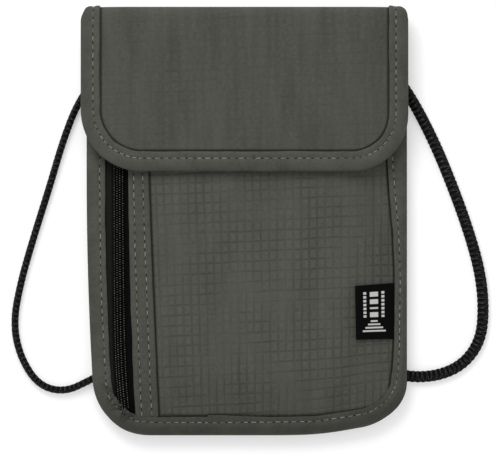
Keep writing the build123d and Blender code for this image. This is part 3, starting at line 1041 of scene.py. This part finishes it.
class POUCH_OT_back(PouchOperator):
    """Back cloth, its shielding sheet and its lining"""
    bl_idname = "pouch.back"
    bl_label = "Back"

    def build(self, sizes):
        """Three flat plies, one on another."""
        top = FOLD_Y - BEND_FOOT
        wrinkle = sizes.front_wrinkle / MM

        def outer(x, y):
            """The back's outer face, with shallow wrinkles pressed into it."""
            return lie(x, y, BACK_Z + 0.5 * wrinkle * (0.5 + 0.5 * ripple(x / 9, y / 14, 2.2)))

        mesh = cloth(90, 118, body_cut(PLY_INSET, top), outer)
        back = complete(mesh, "back_cloth", flap_cloth(), "ripstop", "pouch",
                        ("back_panel",), CLOTH_WALL, side=1)
        mesh = cloth(60, 80, body_cut(PLY_INSET, BACK_HIGH.y),
                     lambda x, y: lie(x, y, LINING_HIGH.z))
        lining = complete(mesh, "back_lining_cloth", lining_cloth(), "lining", "pouch",
                          ("back_lining",), LINING_WALL)
        for name, node, (low, high) in (("shield_back", "rfid_shield_back", SHIELD_BACK),
                                        ("shield_front", "rfid_shield_front", SHIELD_FRONT)):
            def flat(x, y, level=high.z):
                """Foil, faintly crinkled."""
                return lie(x, y, level - 0.02 - 0.03 * abs(ripple(x / 5, y / 5, 6)))
            mesh = cloth(60, 70, window(low.x + 3.0, high.x, low.y + 1.0, high.y), flat)
            complete(mesh, name, foil(), "foil", "pouch", (node,), 0.15)


DIVIDER_START, DIVIDER_RUN = 5.1, 11.5
WIDTH_RIGHT = ((-80.0, 7.9), (-67.0, 6.4), (-53.0, 5.6), (-21.0, 5.4), (-3.0, 6.3),
               (17.0, 8.1), (26.0, 8.6))


class POUCH_OT_front(PouchOperator):
    """Front cloth, the sheet between the pockets, the mouth hem and the loop strip"""
    bl_idname = "pouch.front"
    bl_label = "Front"

    def build(self, sizes):
        """The pillow-shaped plies and what is sewn on them."""
        wrinkle = sizes.front_wrinkle / MM

        def divider(x, y):
            """The sheet between the pockets."""
            rise = DIVIDER_HIGH.z - LINING_WALL - DIVIDER_LOW.z
            return lie(x, y, DIVIDER_LOW.z + LINING_WALL + rise * swell(x, y, DIVIDER_START, DIVIDER_RUN))

        mesh = cloth(90, 110, body_cut(PLY_INSET, DIVIDER_HIGH.y), divider)
        inner = complete(mesh, "divider_cloth", lining_cloth(), "lining", "pouch",
                         ("pocket_divider",), LINING_WALL)

        def cut(u, v):
            """The front is cut straight beside the zip and round at the right corner."""
            y = BOTTOM + PLY_INSET + (FRONT_HIGH.y - BOTTOM - PLY_INSET) * v
            right = span_at(y, PLY_INSET)[1]
            return FRONT_LOW.x + (right - FRONT_LOW.x) * u, y

        def outer(x, y):
            """The front's outer face, puckered along its seams and slack between them."""
            depth = inward(x, y)
            pucker = clamp(1 - abs(depth - 2.0) / 7.0) * ripple(x / 3.2, y / 3.2, 1.3)
            slack = ripple(x / 15, y / 9, 7.7) + 0.5 * ripple(x / 5, y / 11, 9.1)
            z = front_top(x, y) + wrinkle * (pucker + 0.5 * slack * swell(x, y)) - 0.1
            return lie(x, y, min(z, front_top(x, y)))

        def seam_shade(x, y):
            """Shade beside the band and where the front goes in under the binding."""
            beside_band = 1 - abs(x - BAND_HIGH.x - 0.45) / 0.75
            rim = min(RIGHT - between(WIDTH_RIGHT, y) - x, y - BOTTOM - 8.2)
            return clamp(1.3 * max(beside_band, 1 - abs(rim - 0.35) / 0.8))

        mesh = cloth(224, 208, cut, outer, seam_shade)
        front = complete(mesh, "front_cloth_panel", front_cloth(), "ripstop", "pouch",
                         ("front_panel",), CLOTH_WALL)

        section = [(0.2, 0.0), (0.0, 0.25), (0.25, 0.5), (2.2, 0.5), (2.7, 0.38), (3.2, 0.5),
                   (6.6, 0.5), (7.0, 0.2), (6.8, 0.0), (3.0, 0.0)]
        low, high = HEM_LOW.x, HEM_HIGH.x
        stations = [low + (high - low) * k / 90 for k in range(91)]

        def hem(n, h, x):
            """The hem is turned down over the mouth's edge."""
            return lie(x, HEM_LOW.y + n, front_top(x, HEM_LOW.y + n) + 0.1 + h
                       + 0.08 * ripple(x / 4, n, 2))

        complete(strip(section, stations, hem), "mouth_hem_tape", binding_tape(), "binding",
                 "pouch", ("mouth_hem",))
        mesh = bmesh.new()
        stitch_row(mesh, None, lambda s: (hem(2.7, 0.5, low + s), UP), high - low)
        complete(mesh, "mouth_stitches", sewing_thread(), "binding", "pouch")

        def loops(x, y):
            """Loop pile, standing in small tufts."""
            edge = min(x - LOOP_LOW.x, LOOP_HIGH.x - x, y - LOOP_LOW.y, LOOP_HIGH.y - y)
            tuft = 0.5 + 0.5 * ripple(x * 1.3, y * 1.3, 11)
            return Vector((x, y, LOOP_LOW.z + 0.35 + 0.6 * tuft * clamp(edge / 1.2)))

        mesh = cloth(140, 44, window(LOOP_LOW.x, LOOP_HIGH.x, LOOP_LOW.y, LOOP_HIGH.y), loops)
        complete(mesh, "loop_pile", pile(), "pile", "pouch", ("loop_strip",), 0.3)


def band_point(n, h, y):
    """A point of the band beside the zip: across from its left edge, and up from below."""
    x = BAND_LOW.x + n
    inner = clamp(n / 2.0) * clamp((BAND_HIGH.x - BAND_LOW.x - n) / 2.0)
    gather = ripple((x + y * 0.5) / 2.2, y / 3.4, 3.3) + 0.6 * ripple(x / 1.3, y / 2.0, 6.1)
    top = 0.26 * gather * inner * clamp(h / 0.4)
    wander = 0.25 * ripple(y / 11, 0.0, 1.9 + (n > 4)) * (1 if n < 1 or n > 8 else 0.4)
    sink = clamp(1 - (y - BAND_LOW.y) / 4.0)
    return lie(x + wander, y, front_top(x, y) + 0.1 + h - 0.12 + top - 0.3 * sink)


class POUCH_OT_band(PouchOperator):
    """Folded band that covers the seam between the zip and the front"""
    bl_idname = "pouch.band"
    bl_label = "Zip band"

    def build(self, sizes):
        """A flat folded band with two sewn channels."""
        width = BAND_HIGH.x - BAND_LOW.x
        section = [(0.35, 0.0), (0.05, 0.15), (0.0, 0.4), (0.12, 0.68), (0.5, 0.85), (1.3, 0.88),
                   (2.0, 0.76), (2.5, 0.5), (3.0, 0.74), (3.7, 0.84), (4.5, 0.84), (5.3, 0.84),
                   (5.9, 0.74), (6.4, 0.5), (6.9, 0.76), (7.6, 0.88), (8.4, 0.86), (8.78, 0.68),
                   (width, 0.4), (8.85, 0.15), (8.55, 0.0), (6.0, 0.0), (3.0, 0.0)]
        low, high = BAND_LOW.y, BAND_HIGH.y
        count = 230
        stations = [low + (high - low) * k / count for k in range(count + 1)]
        complete(strip(section, stations, band_point), "zip_band", flap_cloth(), "ripstop",
                 "pouch", ("zip_facing",), levels=1)
        mesh, hole_shade = bmesh.new(), bmesh.new()
        for n in (2.5, 6.4):
            stitch_row(mesh, hole_shade, lambda s: (
                band_point(n + 0.25 * ripple(s / 15, n, 7.5), 0.62, low + s), UP), high - low)
        sewn_rows("band", mesh, hole_shade, "pouch")


def on_tape(x, y, height):
    """A point above the zip's tapes."""
    return lie(x, y, front_top(x, y) - CLOTH_WALL + TAPE_WALL + height)


TOOTH_OUT, TOOTH_IN, TOOTH_SKEW = 2.2, 0.35, 0.16


class POUCH_OT_zip(PouchOperator):
    """Zip tapes, the two rows of the coil and its stops"""
    bl_idname = "pouch.zip"
    bl_label = "Zip"

    def build(self, sizes):
        """Tapes, teeth, the thread that sews them on, and the end stops."""
        for name, node, (low, high) in (("tape_left", "zip_tape_left", TAPE_LEFT),
                                        ("tape_right", "zip_tape_right", TAPE_RIGHT)):
            start = max(low.x, LEFT + PLY_INSET)

            def cut(u, v):
                """The tape's lower end follows the body's corner."""
                x = start + (high.x - start) * u
                foot = max(LEFT + CORNER_LEFT - x, 0.0)
                foot = BOTTOM + CORNER_LEFT - sqrt((CORNER_LEFT - PLY_INSET) ** 2 - foot ** 2)
                return x, foot + (high.y - foot) * v

            def beside_coil(x, y):
                """Shade at the coil's foot, under the binding and under the band."""
                off = ZIP_X + lean(ZIP_X, y) - x - lean(x, y)
                return clamp(1 - (off - 2.4) / 1.0) + clamp((off - 5.2) / 1.2)
            mesh = cloth(36, 150, cut, lambda x, y: on_tape(x, y, 0.0), beside_coil)
            complete(mesh, name, zip_tape(), "tape", "pouch", (node,), TAPE_WALL)

        low, high = COIL_LEFT[0].y, COIL_LEFT[1].y
        pitch = sizes.tooth_pitch / MM
        count = int((high - low) / pitch)
        threads = bmesh.new()
        for side, name, node in ((-1, "teeth_left", "zip_coil_left"),
                                 (1, "teeth_right", "zip_coil_right")):
            mesh = bmesh.new()
            for k in range(count):
                y = low + pitch * (k + (0.25 if side < 0 else 0.75))
                outer = on_tape(ZIP_X + side * TOOTH_OUT, y - TOOTH_SKEW, 0.62)
                inner = on_tape(ZIP_X - side * TOOTH_IN, y + TOOTH_SKEW, 0.92)
                up = (outer - inner).cross(Vector((0, 1, 0))).normalized()
                up = up if up.z > 0 else -up
                bead(mesh, (outer + inner) / 2, outer - inner, up,
                     ((outer - inner).length, 0.64, 1.05), 8, 0.5)
                knuckle = on_tape(ZIP_X - side * 0.1, y + 0.12, 0.98)
                bead(mesh, knuckle, Vector((0, 1, 0)), UP, (0.72, 0.8, 1.1), 6, 0.9, 4)
                # thread ties on the coil, part real thread and part painted glints in their light grey
                for off, rise in ((1.85, 1.15), (0.62, 1.5)):
                    tie = on_tape(ZIP_X + side * off, y + (off > 1) * pitch / 2, rise)
                    bead(threads, tie, Vector((side * 0.5, 1, 0)), UP,
                         (0.42, 0.36, 0.3), 6, 0.8, 4)
            complete(mesh, name, zip_nylon(), "coil", "pouch", (node,))
        complete(threads, "coil_threads", coil_thread(), "tape", "pouch")


def eased_copy(node):
    """A CAD node's mesh with its loose triangles joined and its edges ready to ease."""
    mesh = bmesh.new()
    mesh.from_mesh(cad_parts[node].data)
    bmesh.ops.remove_doubles(mesh, verts=mesh.verts, dist=1e-6)
    bmesh.ops.dissolve_limit(mesh, angle_limit=radians(1), verts=mesh.verts, edges=mesh.edges)
    bmesh.ops.recalc_face_normals(mesh, faces=mesh.faces)
    bmesh.ops.scale(mesh, vec=(1 / MM,) * 3, verts=mesh.verts)
    return mesh


ZIP_SLOPE = 20.48
GRIP_BARS, GRIP_START, GRIP_PITCH = 5, 6.2, 1.5


class POUCH_OT_slider(PouchOperator):
    """Enamelled slider, puller and end stops"""
    bl_idname = "pouch.slider"
    bl_label = "Slider"

    def build(self, sizes):
        """The CAD's own metal shapes with their edges eased, and a grip on the puller."""
        for node, name, body, width, slot in (
                ("slider_body", "zip_slider", "zip_slider", 0.18, "metal"),
                ("puller", "zip_puller", "zip_puller", 0.15, "metal"),
                ("zip_stops", "coil_stops", "pouch", 0.2, "coil")):
            piece = complete(eased_copy(node), name, enamel(), slot, body, (node,))
            for face in piece.data.polygons:
                face.use_smooth = False
            soft = piece.modifiers.new("Eased edges", "BEVEL")
            soft.width, soft.segments, soft.limit_method = width * MM, 2, "ANGLE"
            soft.angle_limit = radians(40)
        low, high = box_mm("puller")
        slope = radians(ZIP_SLOPE)
        across = Vector((cos(slope), 0, sin(slope)))
        up = Vector((-sin(slope), 0, cos(slope)))
        middle = (low + high) / 2
        mesh = bmesh.new()
        for k in range(GRIP_BARS):
            here = Vector((middle.x, low.y + GRIP_START + GRIP_PITCH * k, middle.z)) + up * 0.3
            bead(mesh, here, across, up, (3.4, 0.5, 0.4), 8)
        complete(mesh, "puller_grip", enamel(), "metal", "zip_puller")


RIM_SECTION = [
    (8.0, -0.95), (8.08, -0.68), (7.85, -0.42), (7.2, -0.32), (6.4, -0.5), (5.7, -0.78),
    (5.0, -0.52), (4.3, -0.42), (3.5, -0.5), (2.6, -0.72), (1.7, -1.1), (0.85, -1.6),
    (0.22, -2.1), (0.0, -2.6), (0.18, -3.25), (0.6, -3.85), (1.3, -4.28), (2.2, -4.52),
    (3.2, -4.6), (4.6, -4.6), (5.7, -4.42), (6.8, -4.58), (7.8, -4.55), (8.05, -4.25),
    (7.9, -3.95), (5.0, -3.9), (2.2, -3.88), (1.5, -3.5), (1.2, -2.7), (1.6, -1.9),
    (2.6, -1.25), (5.0, -1.15),
]
SECTION_WIDTH, ROW_IN = 8.05, 5.7
MIDDLE_H = -2.5
LAP_X, LAP_RUN = -18.4, 26.0
PLEATS = ((163.8, 0.75, 0.8), (167.6, -0.5, 0.6), (175.2, 0.6, 1.0), (179.0, -0.7, 0.7),
          (184.5, 0.9, 0.8))


def rim_point(n, h, station):
    """A point of the body's binding: in from its edge, at a height."""
    edge, way, run = station
    width = bpy.context.scene.pouch_sizes.binding_width / MM
    if way.x < -0.5:
        width = between(WIDTH_RIGHT, edge.y)
    missing = SECTION_WIDTH - width
    n -= missing * min(n / ROW_IN, 1.0)
    face = clamp((h - MIDDLE_H) / 1.2)
    back = clamp((MIDDLE_H - h) / 1.2)
    depth = clamp(n / 2.5)
    corner = clamp(way.x * 2.4) * clamp(way.y * 2.4)
    rumple = 0.09 * ripple(run / 2.4, n / 3.0, 1.1) + 0.08 * ripple(run / 6.0, n / 5.0, 4.1)
    crease = abs(ripple(run / 3.6 + n / 14.0, n / 9.0, 8.8))
    rumple += corner * clamp(n / 3.5) * (
        0.4 * (0.5 - crease) + 0.2 * ripple(run / 1.9, n / 2.0, 2.8))
    for at, slant, deep in PLEATS:
        off = run - at - slant * (n - 7.5)
        rumple += clamp((n - 2.0) / 2.5) * deep * (
            1.25 * exp(-(off / 0.85) ** 2) - 0.4 * exp(-((off - 1.4) / 0.6) ** 2))
    wander = 0.22 * ripple(run / 7.0, 0, 6.6) + corner * 0.5 * ripple(run / 3.0, 1, 3.6)
    n += wander * clamp(n - 5)
    bottom = way.y > 0.98
    lapped = (edge.x > LAP_X) * ease(1 - (edge.x - LAP_X) / LAP_RUN) if bottom else 0.0
    foot = 1.2 * ease(way.y * 1.2) * clamp(1 - n / 4.5)
    h += (rumple * depth + 0.4 * lapped * clamp(n / 3) - foot) * face - 0.3 * rumple * back
    n += 0.9 * lapped * clamp(n - 6)
    x, y = edge.x + way.x * n, edge.y + way.y * n
    ridden = max(front_top(x, y) - RIM_TOP, 0.0) * face
    return Vector((x + lean(edge.x, edge.y), y + lift(edge.x, edge.y), h + ridden))


class POUCH_OT_rim(PouchOperator):
    """Binding round the body's edge, with its row of stitches"""
    bl_idname = "pouch.rim"
    bl_label = "Body binding"

    def build(self, sizes):
        """A tape folded over the edge, lapped at the foot and creased round the corner."""
        stations = edge_stations(LEFT, RIGHT, BOTTOM, FOLD_Y - BEND_FOOT + 0.3,
                                 CORNER_LEFT, CORNER_RIGHT, 0.6)

        def fold_shade(n, h, station):
            """Shade in the pleats of the corner, on the side away from the light."""
            if h < -2.0:
                return 0.0
            lines = (exp(-((station[2] - at - slant * (n - 7.5) + 1.0) / 0.55) ** 2)
                     for at, slant, _ in PLEATS)
            # painted shade along the bottom run, which faces away from the light
            turned = 0.28 * ease(station[1].y * 1.2)
            return clamp(0.6 * max(lines) * clamp((n - 2.5) / 2.0) + turned)

        complete(strip(RIM_SECTION, stations, rim_point, fold_shade), "body_binding_tape",
                 binding_tape(), "binding", "pouch", ("body_binding",))
        length = stations[-1][2]

        def at(s):
            """The station at a distance along the edge."""
            return station_at(stations, s)

        mesh, hole_shade = bmesh.new(), bmesh.new()
        stitch_row(mesh, hole_shade, lambda s: (
            rim_point(ROW_IN + 0.3 * ripple(s / 17, 0.3, 2.5), -0.7, at(s)), UP), length - 2.0)
        stitch_row(mesh, hole_shade, lambda s: (rim_point(ROW_IN, -4.46, at(s)), -UP), length - 2.0)
        sewn_rows("body", mesh, hole_shade, "pouch")


LABEL_LEFT, LABEL_RIGHT, LABEL_TOP, LABEL_BOTTOM = 48.2, 66.2, -26.6, -52.2
LABEL_HINGE = 61.9


class POUCH_OT_label(PouchOperator):
    """Woven label sewn in under the right binding, free along its left edge"""
    bl_idname = "pouch.label"
    bl_label = "Label"

    def build(self, sizes):
        """A thin woven flag that follows the slope and lifts at its free edge."""
        def cut(u, v):
            """The label on the flat, measured from its own lower left corner."""
            return ((LABEL_RIGHT - LABEL_LEFT) * u, (LABEL_TOP - LABEL_BOTTOM) * v)

        def lay(x, y):
            """A point of the label, its top edge a little askew."""
            u, v = x / (LABEL_RIGHT - LABEL_LEFT), y / (LABEL_TOP - LABEL_BOTTOM)
            px = LABEL_LEFT + x + 0.5 * (1 - u) * (0.5 - v)
            py = LABEL_BOTTOM + y - 1.5 * (1 - u) * v + 0.25 * (1 - u)
            free = clamp((LABEL_HINGE - px) / 13.0)
            curl = 0.5 * free ** 2 + 0.12 * ripple(px / 5, py / 7, 5) * free
            inside = inward(px, py)
            under = clamp((px - 63.4) / 1.5)
            base = RIM_TOP + FRONT_RISE * clamp(inside / SLOPE_RUN, 0, 1)
            return lie(px, py, base + 1.05 * (1 - under) + 0.35 * under + curl)

        mesh = cloth(40, 56, cut, lay)
        piece = complete(mesh, "label_cloth", woven_mark(), "label", None, ("woven_label",), 0.5)
        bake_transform(piece)


FLAP_INSET, LINING_DEPTH = 0.9, -0.7


def whole_flap(u, v):
    """The flap's cut on the flat, from its lower edge to the top of the fold."""
    inset = FLAP_INSET
    q = EDGE_LOW.y + inset + (WALL_START - EDGE_LOW.y - inset) * v ** 1.15
    half = (EDGE_HIGH.x - EDGE_LOW.x) / 2
    limits = []
    for corner in (FLAP_CORNER_LEFT, FLAP_CORNER_RIGHT):
        below = max(EDGE_LOW.y + corner - q, 0.0)
        limits.append(half - corner + sqrt(max((corner - inset) ** 2 - below ** 2, 0.0)))
    return -limits[0] + (limits[0] + limits[1]) * u, q


FLAP_CORNER_LEFT, FLAP_CORNER_RIGHT = 27.0, 25.0
HOOK_PITCH = 1.7


class POUCH_OT_flap(PouchOperator):
    """Flap cloth, its lining and the hook strip"""
    bl_idname = "pouch.flap"
    bl_label = "Flap"

    def build(self, sizes):
        """Two plies that bend over the fold, and the strip sewn under them."""

        def seam_shade(x, q):
            """Shade where the flap goes in under its binding."""
            corner = FLAP_CORNER_LEFT if x < 0 else FLAP_CORNER_RIGHT
            a, b = EDGE_HIGH.x - abs(x), q - EDGE_LOW.y
            edge = min(a, b)
            if a < corner and b < corner:
                edge = corner - hypot(corner - a, corner - b)
            return clamp(1.2 * (1 - abs(edge - 9.1) / 0.8))

        mesh = cloth(230, 120, whole_flap, lambda x, q: off_flap(x, q, 0.0), seam_shade)
        outer = complete(mesh, "flap_cloth_panel", flap_cloth(), "ripstop", None,
                         ("flap_face",), CLOTH_WALL)
        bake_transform(outer)
        mesh = cloth(90, 60, whole_flap, lambda x, q: off_flap(x, q, LINING_DEPTH))
        inner = complete(mesh, "flap_lining_cloth", lining_cloth(), "lining", None,
                         ("flap_lining",), LINING_WALL)
        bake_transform(inner)

        low, high = HOOK_LOW, HOOK_HIGH
        ground = high.z - 0.3

        def sewn(x, y):
            """The hook strip's ground."""
            return Vector((x, y, high.z))

        mesh = cloth(60, 20, window(low.x, high.x, low.y, high.y), sewn)
        complete(mesh, "hook_ground", pile(), "pile", "flap", ("hook_strip",), 0.3)
        mesh = bmesh.new()
        pitch = HOOK_PITCH
        columns, rows = int((high.x - low.x - 2) / pitch), int((high.y - low.y - 2) / pitch)
        for i in range(columns + 1):
            for j in range(rows + 1):
                x, y = low.x + 1 + i * pitch, low.y + 1.2 + j * pitch
                place = Matrix.Translation((x, y, ground - 0.3)) @ Matrix.Rotation(
                    radians(14 * (-1) ** (i + j)), 4, "X")
                bmesh.ops.create_cone(mesh, cap_ends=True, segments=6, radius1=0.16,
                                      radius2=0.3, depth=0.6, matrix=place)
        complete(mesh, "hooks", pile(), "pile", "flap")
        mesh = bmesh.new()
        for a, b in (((low.x + 0.8, low.y + 0.8), (high.x - 0.8, low.y + 0.8)),
                     ((low.x + 0.8, high.y - 0.8), (high.x - 0.8, high.y - 0.8))):
            start, end = Vector((*a, ground - 0.05)), Vector((*b, ground - 0.05))
            way = (end - start).normalized()
            stitch_row(mesh, None, lambda s: (start + way * s, -UP), (end - start).length)
        complete(mesh, "hook_stitches", dark_thread(), "pile", "flap")


EDGE_WIDTH, EDGE_ROW_IN = 8.7, 5.8
EDGE_SECTION = [
    (8.7, -0.1), (8.78, 0.25), (8.6, 0.55), (8.0, 0.7), (7.0, 0.62), (6.3, 0.42), (5.8, 0.2),
    (5.3, 0.42), (4.5, 0.64), (3.4, 0.72), (2.2, 0.62), (1.2, 0.34), (0.45, -0.05),
    (0.08, -0.55), (0.45, -1.1), (1.2, -1.55), (2.2, -1.78), (3.4, -1.86), (4.8, -1.86),
    (5.8, -1.72), (6.8, -1.86), (8.4, -1.84), (8.7, -1.55), (8.5, -1.22), (5.0, -1.2),
    (2.4, -1.18), (1.4, -0.95), (1.1, -0.5), (1.5, 0.0), (2.6, 0.06), (5.0, 0.08),
]


def edge_point(n, h, station):
    """A point of the flap's binding: in from its edge, at a height off the flap."""
    edge, way, run = station
    width = bpy.context.scene.pouch_sizes.flap_binding_width / MM
    if n > 3.0:
        n = 3.0 + (n - 3.0) * (width - 3.0) / (EDGE_WIDTH - 3.0)
    face, depth = clamp((h + 0.6) / 0.6), clamp(n / 2.5)
    rumple = 0.09 * ripple(run / 3.0, n / 3.0, 2.1) + 0.07 * ripple(run / 7.0, n / 6.0, 5.1)
    h += rumple * face * depth
    n += 0.28 * ripple(run / 8.0, 0, 9.6) * clamp(n - 6)
    return off_flap(edge.x + way.x * n, edge.y + way.y * n, h)


class POUCH_OT_flap_edge(PouchOperator):
    """Binding round the flap's edge, with its row of stitches"""
    bl_idname = "pouch.flap_edge"
    bl_label = "Flap binding"

    def build(self, sizes):
        """A tape folded over the flap's edge, from fold to fold."""
        stations = edge_stations(EDGE_LOW.x, EDGE_HIGH.x, EDGE_LOW.y, WALL_START,
                                 FLAP_CORNER_LEFT, FLAP_CORNER_RIGHT, 0.9)
        piece = complete(strip(EDGE_SECTION, stations, edge_point), "flap_binding_tape",
                         binding_tape(), "binding", None, ("flap_binding",))
        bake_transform(piece)
        length = stations[-1][2]

        def sewn(n, h, turn):
            """The row's line and its way up, which turns with the fold."""
            def point(s):
                """A place on the row."""
                station = station_at(stations, s)
                here = edge_point(n, h, station)
                off = edge_point(n, h + 0.5 * turn, station) - here
                return here, off.normalized()
            return point

        mesh, hole_shade = bmesh.new(), bmesh.new()
        stitch_row(mesh, hole_shade, sewn(EDGE_ROW_IN, 0.28, 1), length)
        stitch_row(mesh, hole_shade, sewn(EDGE_ROW_IN, -1.74, -1), length)
        for threads in sewn_rows("flap", mesh, hole_shade):
            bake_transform(threads)


class POUCH_OT_fold(PouchOperator):
    """Cloth, lining and bound edges of the fold along the top"""
    bl_idname = "pouch.fold"
    bl_label = "Top fold"

    def build(self, sizes):
        """The back's cloth carried up to meet the flap."""
        half = (EDGE_HIGH.x - EDGE_LOW.x) / 2 - FLAP_INSET
        for name, node, finish, slot, height, wall in (
                ("fold_cloth", "fold_face", flap_cloth(), "ripstop", 0.0, CLOTH_WALL),
                ("fold_lining_cloth", "fold_lining", lining_cloth(), "lining", LINING_DEPTH,
                 LINING_WALL)):
            mesh = cloth(120, 18, window(-half, half, WALL_START, SKIN_END + 0.6),
                         lambda x, q: off_flap(x, q, height))
            piece = complete(mesh, name, finish, slot, None, (node,), wall)
            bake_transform(piece)
        count = 16
        for side, name in ((-1, "left"), (1, "right")):
            edge = Vector((side * (half + FLAP_INSET), 0))
            stations = []
            for k in range(count + 1):
                q = WALL_START + (SKIN_END + 0.5 - WALL_START) * k / count
                stations.append((Vector((edge.x, q)), Vector((-side, 0)), q))
            piece = complete(strip(EDGE_SECTION, stations, edge_point), f"fold_edge_{name}",
                             binding_tape(), "binding")
            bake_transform(piece)


PIECES = (
    POUCH_OT_stage, POUCH_OT_cord, POUCH_OT_tunnels, POUCH_OT_back, POUCH_OT_front,
    POUCH_OT_band, POUCH_OT_zip, POUCH_OT_slider, POUCH_OT_rim, POUCH_OT_label, POUCH_OT_flap,
    POUCH_OT_flap_edge, POUCH_OT_fold,
)


class POUCH_PT_panel(bpy.types.Panel):
    """The pouch's pieces, sizes and colours"""
    bl_idname = "POUCH_PT_panel"
    bl_label = "Neck Pouch"
    bl_space_type = "VIEW_3D"
    bl_region_type = "UI"
    bl_category = "Neck Pouch"

    def draw(self, context):
        """List the operators and then the settings."""
        for piece in PIECES:
            self.layout.operator(piece.bl_idname)
        for group in (context.scene.pouch_sizes, context.scene.pouch_colours):
            column = self.layout.column(align=True)
            for name in group.__annotations__:
                column.prop(group, name)


CLASSES = (PouchSizes, PouchColours, *PIECES, POUCH_PT_panel)


def register():
    """Make the settings, operators and panel known."""
    for item in CLASSES:
        bpy.utils.register_class(item)
    bpy.types.Scene.pouch_sizes = bpy.props.PointerProperty(type=PouchSizes)
    bpy.types.Scene.pouch_colours = bpy.props.PointerProperty(type=PouchColours)


def unregister():
    """Take them away again."""
    del bpy.types.Scene.pouch_colours, bpy.types.Scene.pouch_sizes
    for item in reversed(CLASSES):
        bpy.utils.unregister_class(item)


def main():
    """Build the pouch piece by piece and note the sizes of both models."""
    register()
    for piece in PIECES:
        getattr(bpy.ops.pouch, piece.bl_idname.split(".")[1])()


if __name__ == "__main__":
    main()
